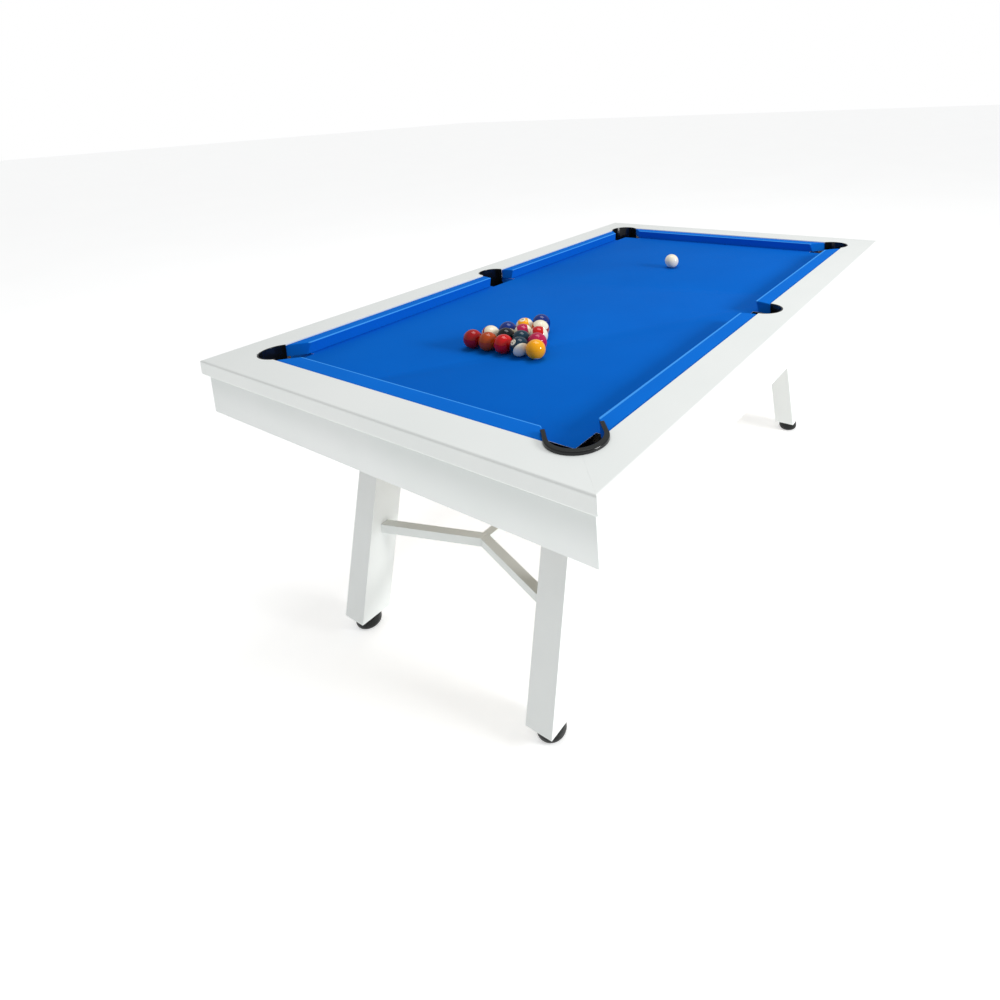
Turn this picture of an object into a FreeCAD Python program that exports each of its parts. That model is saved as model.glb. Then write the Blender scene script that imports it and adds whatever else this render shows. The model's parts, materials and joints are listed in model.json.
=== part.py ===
import FreeCAD, Part
import math
import os

import Sketcher

# Mini pool table: four splayed legs, a cloth-covered bed, six cushions, six drop pockets and
# a set of sixteen balls.  Millimetres, +Z up, +X towards the head end, +Y towards the left
# long side, origin on the floor under the middle of the table.

DRIVING_SIZES = [
    # alias, value, what it is
    ("table_length", 2005, "outside length over the rails"),
    ("table_width", 1225, "outside width over the rails"),
    ("table_height", 780, "floor to the top of the rails"),
    ("rail_width", 95.5, "width of the flat top rail"),
    ("rail_thick", 39, "visible thickness of the top rail"),
    ("rail_edge_round", 5, "rounding of the rail's outer long edges"),
    ("apron_inset", 13, "apron face behind the rail's outer edge"),
    ("apron_height", 104, "height of the apron board"),
    ("apron_thick", 16, "thickness of the apron board"),
    ("corner_block_side", 80, "side of the triangular corner block"),
    ("bed_drop", 34, "playing surface below the top of the rails"),
    ("cloth_thick", 1, "thickness of the bed cloth"),
    ("board_thick", 18, "thickness of the bed board"),
    ("board_margin", 8, "gap between the bed board and the aprons"),
    ("cushion_width", 50, "cushion from rail to nose"),
    ("cushion_drop", 1.5, "cushion top below the top of the rails"),
    ("cushion_gap", 1.5, "tuck groove between cushion and rail"),
    ("corner_radius", 56, "outer radius of a corner pocket liner"),
    ("corner_tuck", 4.2, "back corner of a cushion past the pocket's middle"),
    ("side_radius", 50, "outer radius of a side pocket liner"),
    ("side_mouth", 122, "side pocket mouth between the noses"),
    ("liner_wall", 4, "wall of a pocket liner"),
    ("liner_floor", 4, "floor of a pocket liner"),
    ("liner_fit", 0.2, "gap between a liner and what it sits in"),
    ("liner_depth", 135, "depth of a pocket below the top of the rails"),
    ("liner_round", 1.2, "rounding of a liner's rim"),
    ("collar_proud", 7, "raised collar above the rails at the foot right pocket"),
    ("collar_wide", 10, "width of the collar's arms"),
    ("collar_shift", 5, "collar's outer edge set back behind the pocket's middle"),
    ("collar_arm", 36, "collar's arms past the pocket's middle"),
    ("collar_round", 3, "rounding of the collar's outer upper edge"),
    ("bed_edge_inset", 6, "bed edge inside the nose line at a pocket"),
    ("bearer_deep", 38, "depth of each layer of bed bearers"),
    ("bearer_wide", 40, "width of a lengthwise bearer"),
    ("bearer_spread", 360, "lengthwise bearer from the table's middle"),
    ("cross_bearer_wide", 150, "width of a cross bearer over the legs"),
    ("middle_bearer_wide", 60, "width of the middle cross bearer"),
    ("leg_foot_inset", 147.5, "outer face of a leg's lower end behind the table's end"),
    ("leg_top_inset", 300.5, "outer face of a leg's upper end behind the table's end"),
    ("leg_deep", 91, "leg section along the table"),
    ("leg_wide", 73.5, "leg section across the table"),
    ("leg_side_reach", 353.5, "outer side of a leg from the middle"),
    ("leg_wall", 2.5, "wall of the leg's box section"),
    ("leg_end_plate", 6, "plate welded in the lower end of a leg"),
    ("plate_thick", 6, "thickness of a leg's mounting plate"),
    ("plate_long", 140, "leg mounting plate along the table"),
    ("plate_wide", 130, "leg mounting plate across the table"),
    ("plate_bolt_edge", 12, "mounting bolt from the plate's edges"),
    ("foot_radius", 34, "radius of a rubber foot"),
    ("foot_height", 36, "height of a rubber foot"),
    ("foot_round", 11, "rounding of a foot's lower edge"),
    ("foot_gap", 3.5, "gap between a foot and its leg"),
    ("foot_top_round", 2, "rounding of a foot's upper edge"),
    ("stem_radius", 6, "radius of the levelling stem"),
    ("stem_top", 78, "top of the stem above the floor"),
    ("stem_seat", 14, "lower end of the stem above the floor"),
    ("stem_fit", 0.05, "running gap between a foot and its stem"),
    ("thread_gap", 0.3, "gap between the stem and the leg's end plate"),
    ("collar_flats", 19, "width across the flats of the stem's hexagon"),
    ("collar_gap", 0.4, "gap above and below the stem's hexagon"),
    ("tube_side", 25, "side of the stretcher's square tube"),
    ("tube_wall", 2, "wall of the stretcher's square tube"),
    ("tube_top", 285, "top of the stretcher above the floor"),
    ("hub_inset", 345.5, "meeting point of two stretcher arms behind the table's end"),
    ("bolt_radius", 4, "radius of a bolt's shank"),
    ("bolt_head_radius", 7, "radius of a bolt's head"),
    ("bolt_head_height", 4.5, "height of a bolt's head"),
    ("bolt_hole_gap", 0.1, "gap round a bolt's shank"),
    ("rail_bolt_grip", 25, "rail bolt's length inside the rail"),
    ("leg_bolt_grip", 25, "leg bolt's length inside the cross bearer"),
    ("end_bolt_spread", 250, "end rail bolt from the middle line"),
    ("long_bolt_near", 260, "inner long rail bolt from the middle line"),
    ("long_bolt_far", 640, "outer long rail bolt from the middle line"),
    ("ball_diameter", 50.8, "diameter of a ball"),
    ("ball_gap", 0.3, "gap between a ball and what it touches"),
    ("rack_back", -538.8, "middle of the rack's back row along the table"),
    ("rack_side", -11, "middle of the rack's back row across the table"),
    ("rack_turn", 4.25, "turn of the rack, in degrees"),
    ("cue_ball_place", 428.5, "cue ball along the table, on the head spot"),
]

DERIVED_SIZES = [
    ("half_long", "Sizes.table_length / 2"),
    ("half_wide", "Sizes.table_width / 2"),
    ("rail_in_long", "half_long - Sizes.rail_width"),
    ("rail_in_wide", "half_wide - Sizes.rail_width"),
    ("nose_long", "rail_in_long - Sizes.cushion_width"),
    ("nose_wide", "rail_in_wide - Sizes.cushion_width"),
    ("rail_under", "Sizes.table_height - Sizes.rail_thick"),
    ("bed_top", "Sizes.table_height - Sizes.bed_drop"),
    ("board_top", "bed_top - Sizes.cloth_thick"),
    ("board_under", "board_top - Sizes.board_thick"),
    ("apron_out_long", "half_long - Sizes.apron_inset"),
    ("apron_out_wide", "half_wide - Sizes.apron_inset"),
    ("apron_in_long", "apron_out_long - Sizes.apron_thick"),
    ("apron_in_wide", "apron_out_wide - Sizes.apron_thick"),
    ("apron_under", "rail_under - Sizes.apron_height"),
    ("board_long", "apron_in_long - Sizes.board_margin"),
    ("board_wide", "apron_in_wide - Sizes.board_margin"),
    ("corner_inside", "Sizes.corner_radius - Sizes.liner_wall"),
    ("corner_cut", "corner_inside * sqrt(2)"),
    ("cushion_deep", "Sizes.cushion_width - Sizes.cushion_gap"),
    ("corner_offset", "cushion_deep - corner_cut / 2 - Sizes.corner_tuck"),
    ("corner_long", "nose_long + corner_offset"),
    ("corner_wide", "nose_wide + corner_offset"),
    ("collar_side", "corner_inside + Sizes.collar_wide"),
    ("collar_radius", "sqrt(collar_side * collar_side + Sizes.collar_shift * Sizes.collar_shift)"),
    ("liner_under", "Sizes.table_height - Sizes.liner_depth"),
    ("bearer_split", "board_under - Sizes.bearer_deep"),
    ("bearer_under", "bearer_split - Sizes.bearer_deep"),
    ("leg_top", "bearer_under - Sizes.plate_thick"),
    ("leg_under", "Sizes.foot_height + Sizes.foot_gap"),
    ("leg_foot_reach", "half_long - Sizes.leg_foot_inset"),
    ("leg_top_reach", "half_long - Sizes.leg_top_inset"),
    ("leg_lean", "(leg_foot_reach - leg_top_reach) / (leg_top - leg_under)"),
    ("hub_reach", "half_long - Sizes.hub_inset"),
    ("leg_side_in", "Sizes.leg_side_reach - Sizes.leg_wide"),
    ("leg_side_mid", "Sizes.leg_side_reach - Sizes.leg_wide / 2"),
    ("foot_long", "leg_foot_reach - Sizes.leg_deep / 2"),
    ("plate_mid", "leg_top_reach - Sizes.leg_deep / 2"),
    ("plate_bolt_long", "Sizes.plate_long / 2 - Sizes.plate_bolt_edge"),
    ("plate_bolt_wide", "Sizes.plate_wide / 2 - Sizes.plate_bolt_edge"),
    ("tube_mid", "Sizes.tube_top - Sizes.tube_side / 2"),
    ("arm_reach", "leg_foot_reach - leg_lean * (tube_mid - leg_under) - Sizes.leg_deep / 2"),
    ("arm_slope", "(arm_reach - hub_reach) / leg_side_in"),
    ("arm_skew", "sqrt(1 + arm_slope * arm_slope)"),
    ("rail_bolt_long", "(rail_in_long + board_long) / 2"),
    ("rail_bolt_wide", "(rail_in_wide + board_wide) / 2"),
    ("ball_radius", "Sizes.ball_diameter / 2"),
    ("ball_pitch", "Sizes.ball_diameter + Sizes.ball_gap"),
    ("ball_centre", "bed_top + Sizes.ball_gap + ball_radius"),
]

ENDS = (("foot", -1), ("head", 1))
SIDES = (("left", 1), ("right", -1))
BIG = "400"  # reach of a cutting outline past the piece it cuts

doc = FreeCAD.newDocument("mini_pool_table")
sizes = doc.addObject("Spreadsheet::Sheet", "Sizes")
for row, (alias, value, meaning) in enumerate(DRIVING_SIZES, start=1):
    sizes.set(f"A{row}", meaning)
    sizes.set(f"B{row}", str(value))
    sizes.setAlias(f"B{row}", alias)
places = doc.addObject("Spreadsheet::Sheet", "Places")
for row, (alias, formula) in enumerate(DERIVED_SIZES, start=1):
    places.set(f"A{row}", alias)
    places.set(f"B{row}", "=" + formula)
    places.setAlias(f"B{row}", alias)
doc.recompute()

sub_parts = []


def value_of(expression):
    """Number that an expression on the sheets comes to."""
    return float(sizes.evalExpression(str(expression)))


def keep(piece, label):
    """Name a finished sub-part and list it for writing."""
    piece.Label = label
    sub_parts.append(piece)
    return piece


# ---------------------------------------------------------------- sketches and features


def origin_plane(body, role):
    return next(plane for plane in body.Origin.OriginFeatures if plane.Role == role)


def new_sketch(body, role, height="0"):
    """Empty sketch on one of the body's own planes, moved along the plane's normal."""
    sketch = body.newObject("Sketcher::SketchObject", body.Name + "_sketch")
    sketch.AttachmentSupport = [(origin_plane(body, role), "")]
    sketch.MapMode = "FlatFace"
    sketch.setExpression("AttachmentOffset.Base.z", height)
    return sketch


def pin(sketch, geometry, place, point):
    """Hold one point of a sketch at an (x, y) pair of expressions."""
    for kind, expression in zip(("DistanceX", "DistanceY"), point):
        number = value_of(expression)
        index = sketch.addConstraint(
            Sketcher.Constraint(kind, -1, 1, geometry, place, number)
        )
        sketch.setExpression(f"Constraints[{index}]", expression)


def draw_outline(sketch, points):
    """Closed outline of straight lines through (x, y) pairs of expressions."""
    corners = [FreeCAD.Vector(value_of(x), value_of(y), 0) for x, y in points]
    first = sketch.GeometryCount
    count = len(points)
    for here in range(count):
        sketch.addGeometry(Part.LineSegment(corners[here], corners[(here + 1) % count]))
    for here in range(count):
        following = first + (here + 1) % count
        sketch.addConstraint(Sketcher.Constraint("Coincident", first + here, 2, following, 1))
    for here, point in enumerate(points):
        pin(sketch, first + here, 1, point)


def draw_circle(sketch, centre, radius):
    """Circle round an (x, y) pair of expressions."""
    middle = FreeCAD.Vector(value_of(centre[0]), value_of(centre[1]), 0)
    circle = Part.Circle(middle, FreeCAD.Vector(0, 0, 1), value_of(radius))
    index = sketch.addGeometry(circle)
    pin(sketch, index, 3, centre)
    size = sketch.addConstraint(Sketcher.Constraint("Radius", index, value_of(radius)))
    sketch.setExpression(f"Constraints[{size}]", radius)


def add_feature(body, kind, sketch, length, midplane=False):
    """Pad or Pocket of a sketch through a length."""
    feature = body.newObject("PartDesign::" + kind, body.Name + "_" + kind.lower())
    feature.Profile = sketch
    feature.Midplane = midplane
    feature.setExpression("Length", length)
    sketch.Visibility = False
    return feature


def new_body(name):
    return doc.addObject("PartDesign::Body", name)


def raise_outline(body, points, bottom, height):
    """Upright prism on an outline in plan."""
    sketch = new_sketch(body, "XY_Plane", bottom)
    draw_outline(sketch, points)
    return add_feature(body, "Pad", sketch, height)


def cut_outline(body, points, top, depth):
    """Straight-down cut on an outline in plan, from a level."""
    sketch = new_sketch(body, "XY_Plane", top)
    draw_outline(sketch, points)
    return add_feature(body, "Pocket", sketch, depth)


def cut_circles(body, circles, top, depth):
    """Straight-down round cuts, from a level."""
    sketch = new_sketch(body, "XY_Plane", top)
    for centre, radius in circles:
        draw_circle(sketch, centre, radius)
    return add_feature(body, "Pocket", sketch, depth)


def round_edges(body, feature, radius, wanted):
    """Round the edges of a feature that a test picks out."""
    doc.recompute()
    names = [f"Edge{n}" for n, edge in enumerate(feature.Shape.Edges, 1) if wanted(edge)]
    fillet = body.newObject("PartDesign::Fillet", body.Name + "_fillet")
    fillet.Base = (feature, names)
    fillet.setExpression("Radius", radius)
    return fillet


def box_points(x_low, x_high, y_low, y_high):
    return [(x_low, y_low), (x_high, y_low), (x_high, y_high), (x_low, y_high)]


def signed(sign, *expressions):
    """Expressions with one sign, to mirror a place to the other end or side."""
    return [f"{sign} * ({expression})" for expression in expressions]


def mirrored_points(points, end=1, side=1):
    return [(f"{end} * ({x})", f"{side} * ({y})") for x, y in points]


# ---------------------------------------------------------------- bed


def bed_outline():
    """Bed in plan: square notches leave a point of bed in each corner pocket's mouth."""
    edge_long = "(Places.nose_long - Sizes.bed_edge_inset)"
    edge_wide = "(Places.nose_wide - Sizes.bed_edge_inset)"
    reach = "(Places.corner_cut + Sizes.liner_wall)"
    mouth = "(Sizes.side_mouth / 2 - Sizes.liner_wall)"
    quarter = [
        ("Places.board_long", f"Places.nose_wide - {reach}"),
        (edge_long, f"Places.nose_wide - {reach}"),
        (edge_long, edge_wide),
        (f"Places.nose_long - {reach}", edge_wide),
        (f"Places.nose_long - {reach}", "Places.board_wide"),
        (mouth, "Places.board_wide"),
        (mouth, edge_wide),
    ]
    second = mirrored_points(quarter[::-1], end=-1)
    half = quarter + second
    return half + mirrored_points(half[::-1], side=-1)


def rail_bolt_places():
    """Twelve bolts: two in each end rail and four in each long rail."""
    spots = []
    for _, end in ENDS:
        for _, side in SIDES:
            spots.append((f"{end} * Places.rail_bolt_long", f"{side} * Sizes.end_bolt_spread"))
            for spread in ("Sizes.long_bolt_near", "Sizes.long_bolt_far"):
                spots.append((f"{end} * {spread}", f"{side} * Places.rail_bolt_wide"))
    return spots


def bolt_holes(spots):
    return [(spot, "Sizes.bolt_radius + Sizes.bolt_hole_gap") for spot in spots]


def make_bed():
    board = new_body("bed_board")
    raise_outline(board, bed_outline(), "Places.board_under", "Sizes.board_thick")
    holes = bolt_holes(rail_bolt_places())
    cut_circles(board, holes, "Places.board_top", "Sizes.board_thick")
    keep(board, "bed_board")

    cloth = new_body("bed_cloth")
    raise_outline(cloth, bed_outline(), "Places.board_top", "Sizes.cloth_thick")
    cut_circles(cloth, holes, "Places.bed_top", "Sizes.cloth_thick")
    keep(cloth, "bed_cloth")


# ---------------------------------------------------------------- rails, cushions, aprons


def corner_holes(places_wanted):
    """Round cuts for the corner pockets at the given ends and sides."""
    radius = "Sizes.corner_radius + Sizes.liner_fit"
    return [
        ((f"{end} * Places.corner_long", f"{side} * Places.corner_wide"), radius)
        for end, side in places_wanted
    ]


def side_hole(side):
    return (("0", f"{side} * Places.rail_in_wide"), "Sizes.side_radius + Sizes.liner_fit")


def is_outer_long_edge(axis, reach):
    """Test for a rail's two long edges on its outer face."""

    def wanted(edge):
        if edge.Curve.TypeId != "Part::GeomLine":
            return False
        ends = [tuple(vertex.Point) for vertex in edge.Vertexes]
        on_face = all(abs(abs(point[axis]) - reach) < 0.01 for point in ends)
        level = abs(ends[0][2] - ends[1][2]) < 0.01
        return on_face and level

    return wanted


def make_rail(label, points, rebate, holes, bolts, axis, reach):
    """Rail with a rebate underneath for the bed, pocket cuts and bolt holes."""
    rail = new_body(label)
    raise_outline(rail, points, "Places.rail_under", "Sizes.rail_thick")
    cut_outline(rail, rebate, "Places.bed_top", "Places.bed_top - Places.rail_under")
    cut_circles(rail, holes, "Sizes.table_height", "Sizes.rail_thick")
    bolt_tip = "Places.bed_top + Sizes.rail_bolt_grip"
    last = cut_circles(rail, bolt_holes(bolts), bolt_tip, "Sizes.rail_bolt_grip")
    wanted = is_outer_long_edge(axis, value_of(reach))
    round_edges(rail, last, "Sizes.rail_edge_round", wanted)
    keep(rail, label)


def make_rails():
    seat_long = "(Places.board_long + Sizes.board_margin / 2)"
    seat_wide = "(Places.board_wide + Sizes.board_margin / 2)"
    for name, end in ENDS:
        points = mirrored_points(
            [
                ("Places.half_long", "-Places.half_wide"),
                ("Places.half_long", "Places.half_wide"),
                ("Places.rail_in_long", "Places.rail_in_wide"),
                ("Places.rail_in_long", "-Places.rail_in_wide"),
            ],
            end=end,
        )
        low, high = signed(end, "Places.rail_in_long - 1", seat_long)
        rebate = box_points(low, high, f"-{seat_wide}", seat_wide)
        bolts = [spot for spot in rail_bolt_places() if spot[0] == f"{end} * Places.rail_bolt_long"]
        holes = corner_holes([(end, 1), (end, -1)])
        make_rail(f"{name}_rail", points, rebate, holes, bolts, 0, "Places.half_long")
    for name, side in SIDES:
        points = mirrored_points(
            [
                ("-Places.half_long", "Places.half_wide"),
                ("Places.half_long", "Places.half_wide"),
                ("Places.rail_in_long", "Places.rail_in_wide"),
                ("-Places.rail_in_long", "Places.rail_in_wide"),
            ],
            side=side,
        )
        low, high = signed(side, "Places.rail_in_wide - 1", seat_wide)
        rebate = box_points(f"-{seat_long}", seat_long, low, high)
        bolts = [spot for spot in rail_bolt_places() if spot[1] == f"{side} * Places.rail_bolt_wide"]
        holes = corner_holes([(1, side), (-1, side)]) + [side_hole(side)]
        make_rail(f"{name}_rail", points, rebate, holes, bolts, 1, "Places.half_wide")


def make_cushion(label, points, holes):
    """Cushion between two pocket mouths, standing on the bed cloth."""
    cushion = new_body(label)
    height = "Sizes.bed_drop - Sizes.cushion_drop"
    raise_outline(cushion, points, "Places.bed_top", height)
    cut_circles(cushion, holes, "Sizes.table_height", "Sizes.bed_drop")
    keep(cushion, label)


def make_cushions():
    back = "Places.cushion_deep"
    for name, end in ENDS:
        nose = "(Places.nose_wide - Places.corner_cut)"
        points = mirrored_points(
            [
                ("Places.nose_long", f"-{nose}"),
                ("Places.nose_long", nose),
                (f"Places.nose_long + {back}", f"{nose} + {back}"),
                (f"Places.nose_long + {back}", f"-{nose} - {back}"),
            ],
            end=end,
        )
        make_cushion(f"{name}_cushion", points, corner_holes([(end, 1), (end, -1)]))
    for end_name, end in ENDS:
        for side_name, side in SIDES:
            nose = "(Places.nose_long - Places.corner_cut)"
            points = mirrored_points(
                [
                    ("Sizes.side_mouth / 2", "Places.nose_wide"),
                    (nose, "Places.nose_wide"),
                    (f"{nose} + {back}", f"Places.nose_wide + {back}"),
                    ("Sizes.side_radius", f"Places.nose_wide + {back}"),
                ],
                end=end,
                side=side,
            )
            holes = corner_holes([(end, side)])
            make_cushion(f"{end_name}_{side_name}_cushion", points, holes)


def make_aprons():
    """Four mitred apron boards under the rails."""
    for name, end in ENDS:
        points = mirrored_points(
            [
                ("Places.apron_out_long", "-Places.apron_out_wide"),
                ("Places.apron_out_long", "Places.apron_out_wide"),
                ("Places.apron_in_long", "Places.apron_in_wide"),
                ("Places.apron_in_long", "-Places.apron_in_wide"),
            ],
            end=end,
        )
        apron = new_body(f"{name}_apron")
        raise_outline(apron, points, "Places.apron_under", "Sizes.apron_height")
        keep(apron, f"{name}_apron")
    for name, side in SIDES:
        points = mirrored_points(
            [
                ("-Places.apron_out_long", "Places.apron_out_wide"),
                ("Places.apron_out_long", "Places.apron_out_wide"),
                ("Places.apron_in_long", "Places.apron_in_wide"),
                ("-Places.apron_in_long", "Places.apron_in_wide"),
            ],
            side=side,
        )
        apron = new_body(f"{name}_apron")
        raise_outline(apron, points, "Places.apron_under", "Sizes.apron_height")
        keep(apron, f"{name}_apron")


# ---------------------------------------------------------------- pockets


def turned_points(centre, angle, points):
    """Outline given along and across a direction, turned and moved to a centre."""
    along = math.cos(math.radians(angle))
    across = math.sin(math.radians(angle))
    return [
        (
            f"{centre[0]} + {along:.9f} * ({u}) - {across:.9f} * ({v})",
            f"{centre[1]} + {across:.9f} * ({u}) + {along:.9f} * ({v})",
        )
        for u, v in points
    ]


def make_liner(label, centre, radius, inward, raised=False):
    """Moulded drop pocket: a bucket under the bed and a half-round wall above it.

    inward is the direction from the pocket to the playing area, in degrees.
    """
    liner = new_body(label)
    rim = "(Sizes.table_height + Sizes.collar_proud)" if raised else "Sizes.table_height"
    sketch = new_sketch(liner, "XY_Plane", "Places.liner_under")
    draw_circle(sketch, centre, radius)
    add_feature(liner, "Pad", sketch, f"{rim} - Places.liner_under")
    if raised:
        sketch = new_sketch(liner, "XY_Plane", "Sizes.table_height")
        behind = turned_points(centre, inward, [("-Sizes.collar_shift", "0")])[0]
        draw_circle(sketch, behind, "Places.collar_radius")
        add_feature(liner, "Pad", sketch, "Sizes.collar_proud")
    inside = [(centre, f"{radius} - Sizes.liner_wall")]
    cut_circles(liner, inside, rim, f"{rim} - Places.liner_under - Sizes.liner_floor")
    mouth = turned_points(centre, inward, box_points("0", BIG, f"-{BIG}", BIG))
    mouth_depth = f"{rim} - Places.board_under + Sizes.liner_fit"
    last = cut_outline(liner, mouth, rim, mouth_depth)
    if raised:
        last = add_collar_arms(liner, centre, inward)
    reach = value_of("Places.corner_inside") + 1
    middle = FreeCAD.Vector(value_of(centre[0]), value_of(centre[1]), value_of(rim))

    def on_rim(edge):
        box = edge.BoundBox
        level = box.ZMax - box.ZMin < 0.01 and abs(box.ZMax - value_of(rim)) < 0.01
        along = edge.valueAt((edge.FirstParameter + edge.LastParameter) / 2)
        return level and (not raised or along.distanceToPoint(middle) > reach)

    round_edges(liner, last, "Sizes.collar_round" if raised else "Sizes.liner_round", on_rim)
    keep(liner, label)


def add_collar_arms(liner, centre, inward):
    """Two arms of the raised collar, reaching over the ends of the cushions."""
    for hand in (1, -1):
        inner, outer = signed(hand, "Places.corner_inside", "Places.collar_side")
        low, high = sorted((inner, outer), key=value_of)
        arm = turned_points(centre, inward, box_points("0", "Sizes.collar_arm", low, high))
        last = raise_outline(liner, arm, "Sizes.table_height", "Sizes.collar_proud")
    return last


def make_liners():
    for end_name, end in ENDS:
        for side_name, side in SIDES:
            centre = (f"{end} * Places.corner_long", f"{side} * Places.corner_wide")
            inward = math.degrees(math.atan2(-side, -end))
            raised = end_name == "foot" and side_name == "right"
            label = f"{end_name}_{side_name}_pocket"
            make_liner(label, centre, "Sizes.corner_radius", inward, raised)
    for side_name, side in SIDES:
        centre = ("0", f"{side} * Places.rail_in_wide")
        make_liner(f"{side_name}_side_pocket", centre, "Sizes.side_radius", -90 * side)


# ---------------------------------------------------------------- frame under the bed


def new_box(name, low, high):
    """Part::Box between two corners given as expressions."""
    box = doc.addObject("Part::Box", name)
    for side, axis, start, stop in zip(("Length", "Width", "Height"), "xyz", low, high):
        box.setExpression(side, f"({stop}) - ({start})")
        box.setExpression(f"Placement.Base.{axis}", start)
    return box


def new_cylinder(name, centre, bottom, height, radius):
    """Upright Part::Cylinder."""
    cylinder = doc.addObject("Part::Cylinder", name)
    cylinder.setExpression("Radius", radius)
    cylinder.setExpression("Height", height)
    for axis, expression in zip("xyz", (*centre, bottom)):
        cylinder.setExpression(f"Placement.Base.{axis}", expression)
    return cylinder


def group(label, pieces):
    """Several separate solids under one name."""
    compound = doc.addObject("Part::Compound", label)
    compound.Links = pieces
    return keep(compound, label)


def drilled(name, piece, holes):
    """A piece with a set of cylinders taken out of it."""
    drill = doc.addObject("Part::Compound", name + "_holes")
    drill.Links = holes
    cut = doc.addObject("Part::Cut", name)
    cut.Base = piece
    cut.Tool = drill
    return cut


def leg_corners():
    return [(end_name, end, side_name, side) for end_name, end in ENDS for side_name, side in SIDES]


def leg_bolt_places(end, side):
    """Four mounting bolts round one leg's upper end."""
    return [
        (
            f"{end} * Places.plate_mid + {u} * Places.plate_bolt_long",
            f"{side} * Places.leg_side_mid + {v} * Places.plate_bolt_wide",
        )
        for u in (-1, 1)
        for v in (-1, 1)
    ]


def make_bolt(name, spot, head_top, grip):
    """Bolt with its head below a face and its shank up through it."""
    head_bottom = f"{head_top} - Sizes.bolt_head_height"
    head = new_cylinder(
        name + "_head", spot, head_bottom, "Sizes.bolt_head_height", "Sizes.bolt_head_radius"
    )
    shank = new_cylinder(name + "_shank", spot, head_bottom, grip, "Sizes.bolt_radius")
    bolt = doc.addObject("Part::Fuse", name)
    bolt.Base = head
    bolt.Tool = shank
    return bolt


def make_frame():
    """Two layers of bearers, corner blocks, leg plates and all the bolts."""
    bearers = []
    for side_name, side in SIDES:
        low, high = sorted(
            signed(side, "Sizes.bearer_spread - Sizes.bearer_wide / 2",
                   "Sizes.bearer_spread + Sizes.bearer_wide / 2"),
            key=value_of,
        )
        start = ("-Places.apron_in_long", low, "Places.bearer_split")
        stop = ("Places.apron_in_long", high, "Places.board_under")
        bearers.append(new_box(f"{side_name}_bearer", start, stop))
    half_cross = "Sizes.cross_bearer_wide / 2"
    hole = "Sizes.bolt_radius + Sizes.bolt_hole_gap"
    for end_name, end in ENDS:
        middle = f"{end} * Places.plate_mid"
        start = (f"{middle} - {half_cross}", "-Places.apron_in_wide", "Places.bearer_under")
        stop = (f"{middle} + {half_cross}", "Places.apron_in_wide", "Places.bearer_split")
        solid = new_box(f"{end_name}_cross_blank", start, stop)
        spots = leg_bolt_places(end, 1) + leg_bolt_places(end, -1)
        holes = [
            new_cylinder(f"{end_name}_cross_hole", spot, "Places.bearer_under",
                         "Sizes.leg_bolt_grip", hole)
            for spot in spots
        ]
        bearers.append(drilled(f"{end_name}_cross_bearer", solid, holes))
    reach = "(Sizes.bearer_spread + Sizes.bearer_wide / 2)"
    start = ("-Sizes.middle_bearer_wide / 2", f"-{reach}", "Places.bearer_under")
    stop = ("Sizes.middle_bearer_wide / 2", reach, "Places.bearer_split")
    bearers.append(new_box("middle_cross_bearer", start, stop))
    group("bed_bearers", bearers)

    plates = []
    leg_bolts = []
    blocks = []
    for end_name, end, side_name, side in leg_corners():
        corner = f"{end_name}_{side_name}"
        spots = leg_bolt_places(end, side)
        start = (
            f"{end} * Places.plate_mid - Sizes.plate_long / 2",
            f"{side} * Places.leg_side_mid - Sizes.plate_wide / 2",
            "Places.leg_top",
        )
        stop = (
            f"{end} * Places.plate_mid + Sizes.plate_long / 2",
            f"{side} * Places.leg_side_mid + Sizes.plate_wide / 2",
            "Places.bearer_under",
        )
        blank = new_box(corner + "_plate_blank", start, stop)
        holes = [
            new_cylinder(corner + "_plate_hole", spot, "Places.leg_top", "Sizes.plate_thick", hole)
            for spot in spots
        ]
        plates.append(drilled(corner + "_plate", blank, holes))
        grip = "Sizes.bolt_head_height + Sizes.plate_thick + Sizes.leg_bolt_grip"
        for number, spot in enumerate(spots, start=1):
            leg_bolts.append(make_bolt(f"{corner}_leg_bolt_{number}", spot, "Places.leg_top", grip))
        blocks.append(make_corner_block(corner + "_block", end, side))
    group("leg_plates", plates)
    group("leg_bolts", leg_bolts)
    group("corner_blocks", blocks)

    grip = "Sizes.bolt_head_height + Places.bed_top - Places.board_under + Sizes.rail_bolt_grip"
    rail_bolts = [
        make_bolt(f"rail_bolt_{number}", spot, "Places.board_under", grip)
        for number, spot in enumerate(rail_bolt_places(), start=1)
    ]
    group("rail_bolts", rail_bolts)


def make_corner_block(name, end, side):
    """Triangular block in the inner corner of two aprons."""
    block = new_body(name)
    points = mirrored_points(
        [
            ("Places.apron_in_long", "Places.apron_in_wide"),
            ("Places.apron_in_long - Sizes.corner_block_side", "Places.apron_in_wide"),
            ("Places.apron_in_long", "Places.apron_in_wide - Sizes.corner_block_side"),
        ],
        end=end,
        side=side,
    )
    raise_outline(block, points, "Places.bearer_under", "Places.rail_under - Places.bearer_under")
    return block


# ---------------------------------------------------------------- legs, feet, stretcher


def leg_profile(end, low, high, wall):
    """Side view of a leg between two levels: its faces lean along the table."""
    corners = []
    for level, step in ((low, wall), (low, f"Sizes.leg_deep - {wall}"),
                        (high, f"Sizes.leg_deep - {wall}"), (high, wall)):
        outer = f"Places.leg_foot_reach - Places.leg_lean * ({level} - Places.leg_under)"
        corners.append((f"{end} * ({outer} - ({step}))", level))
    return corners


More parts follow.
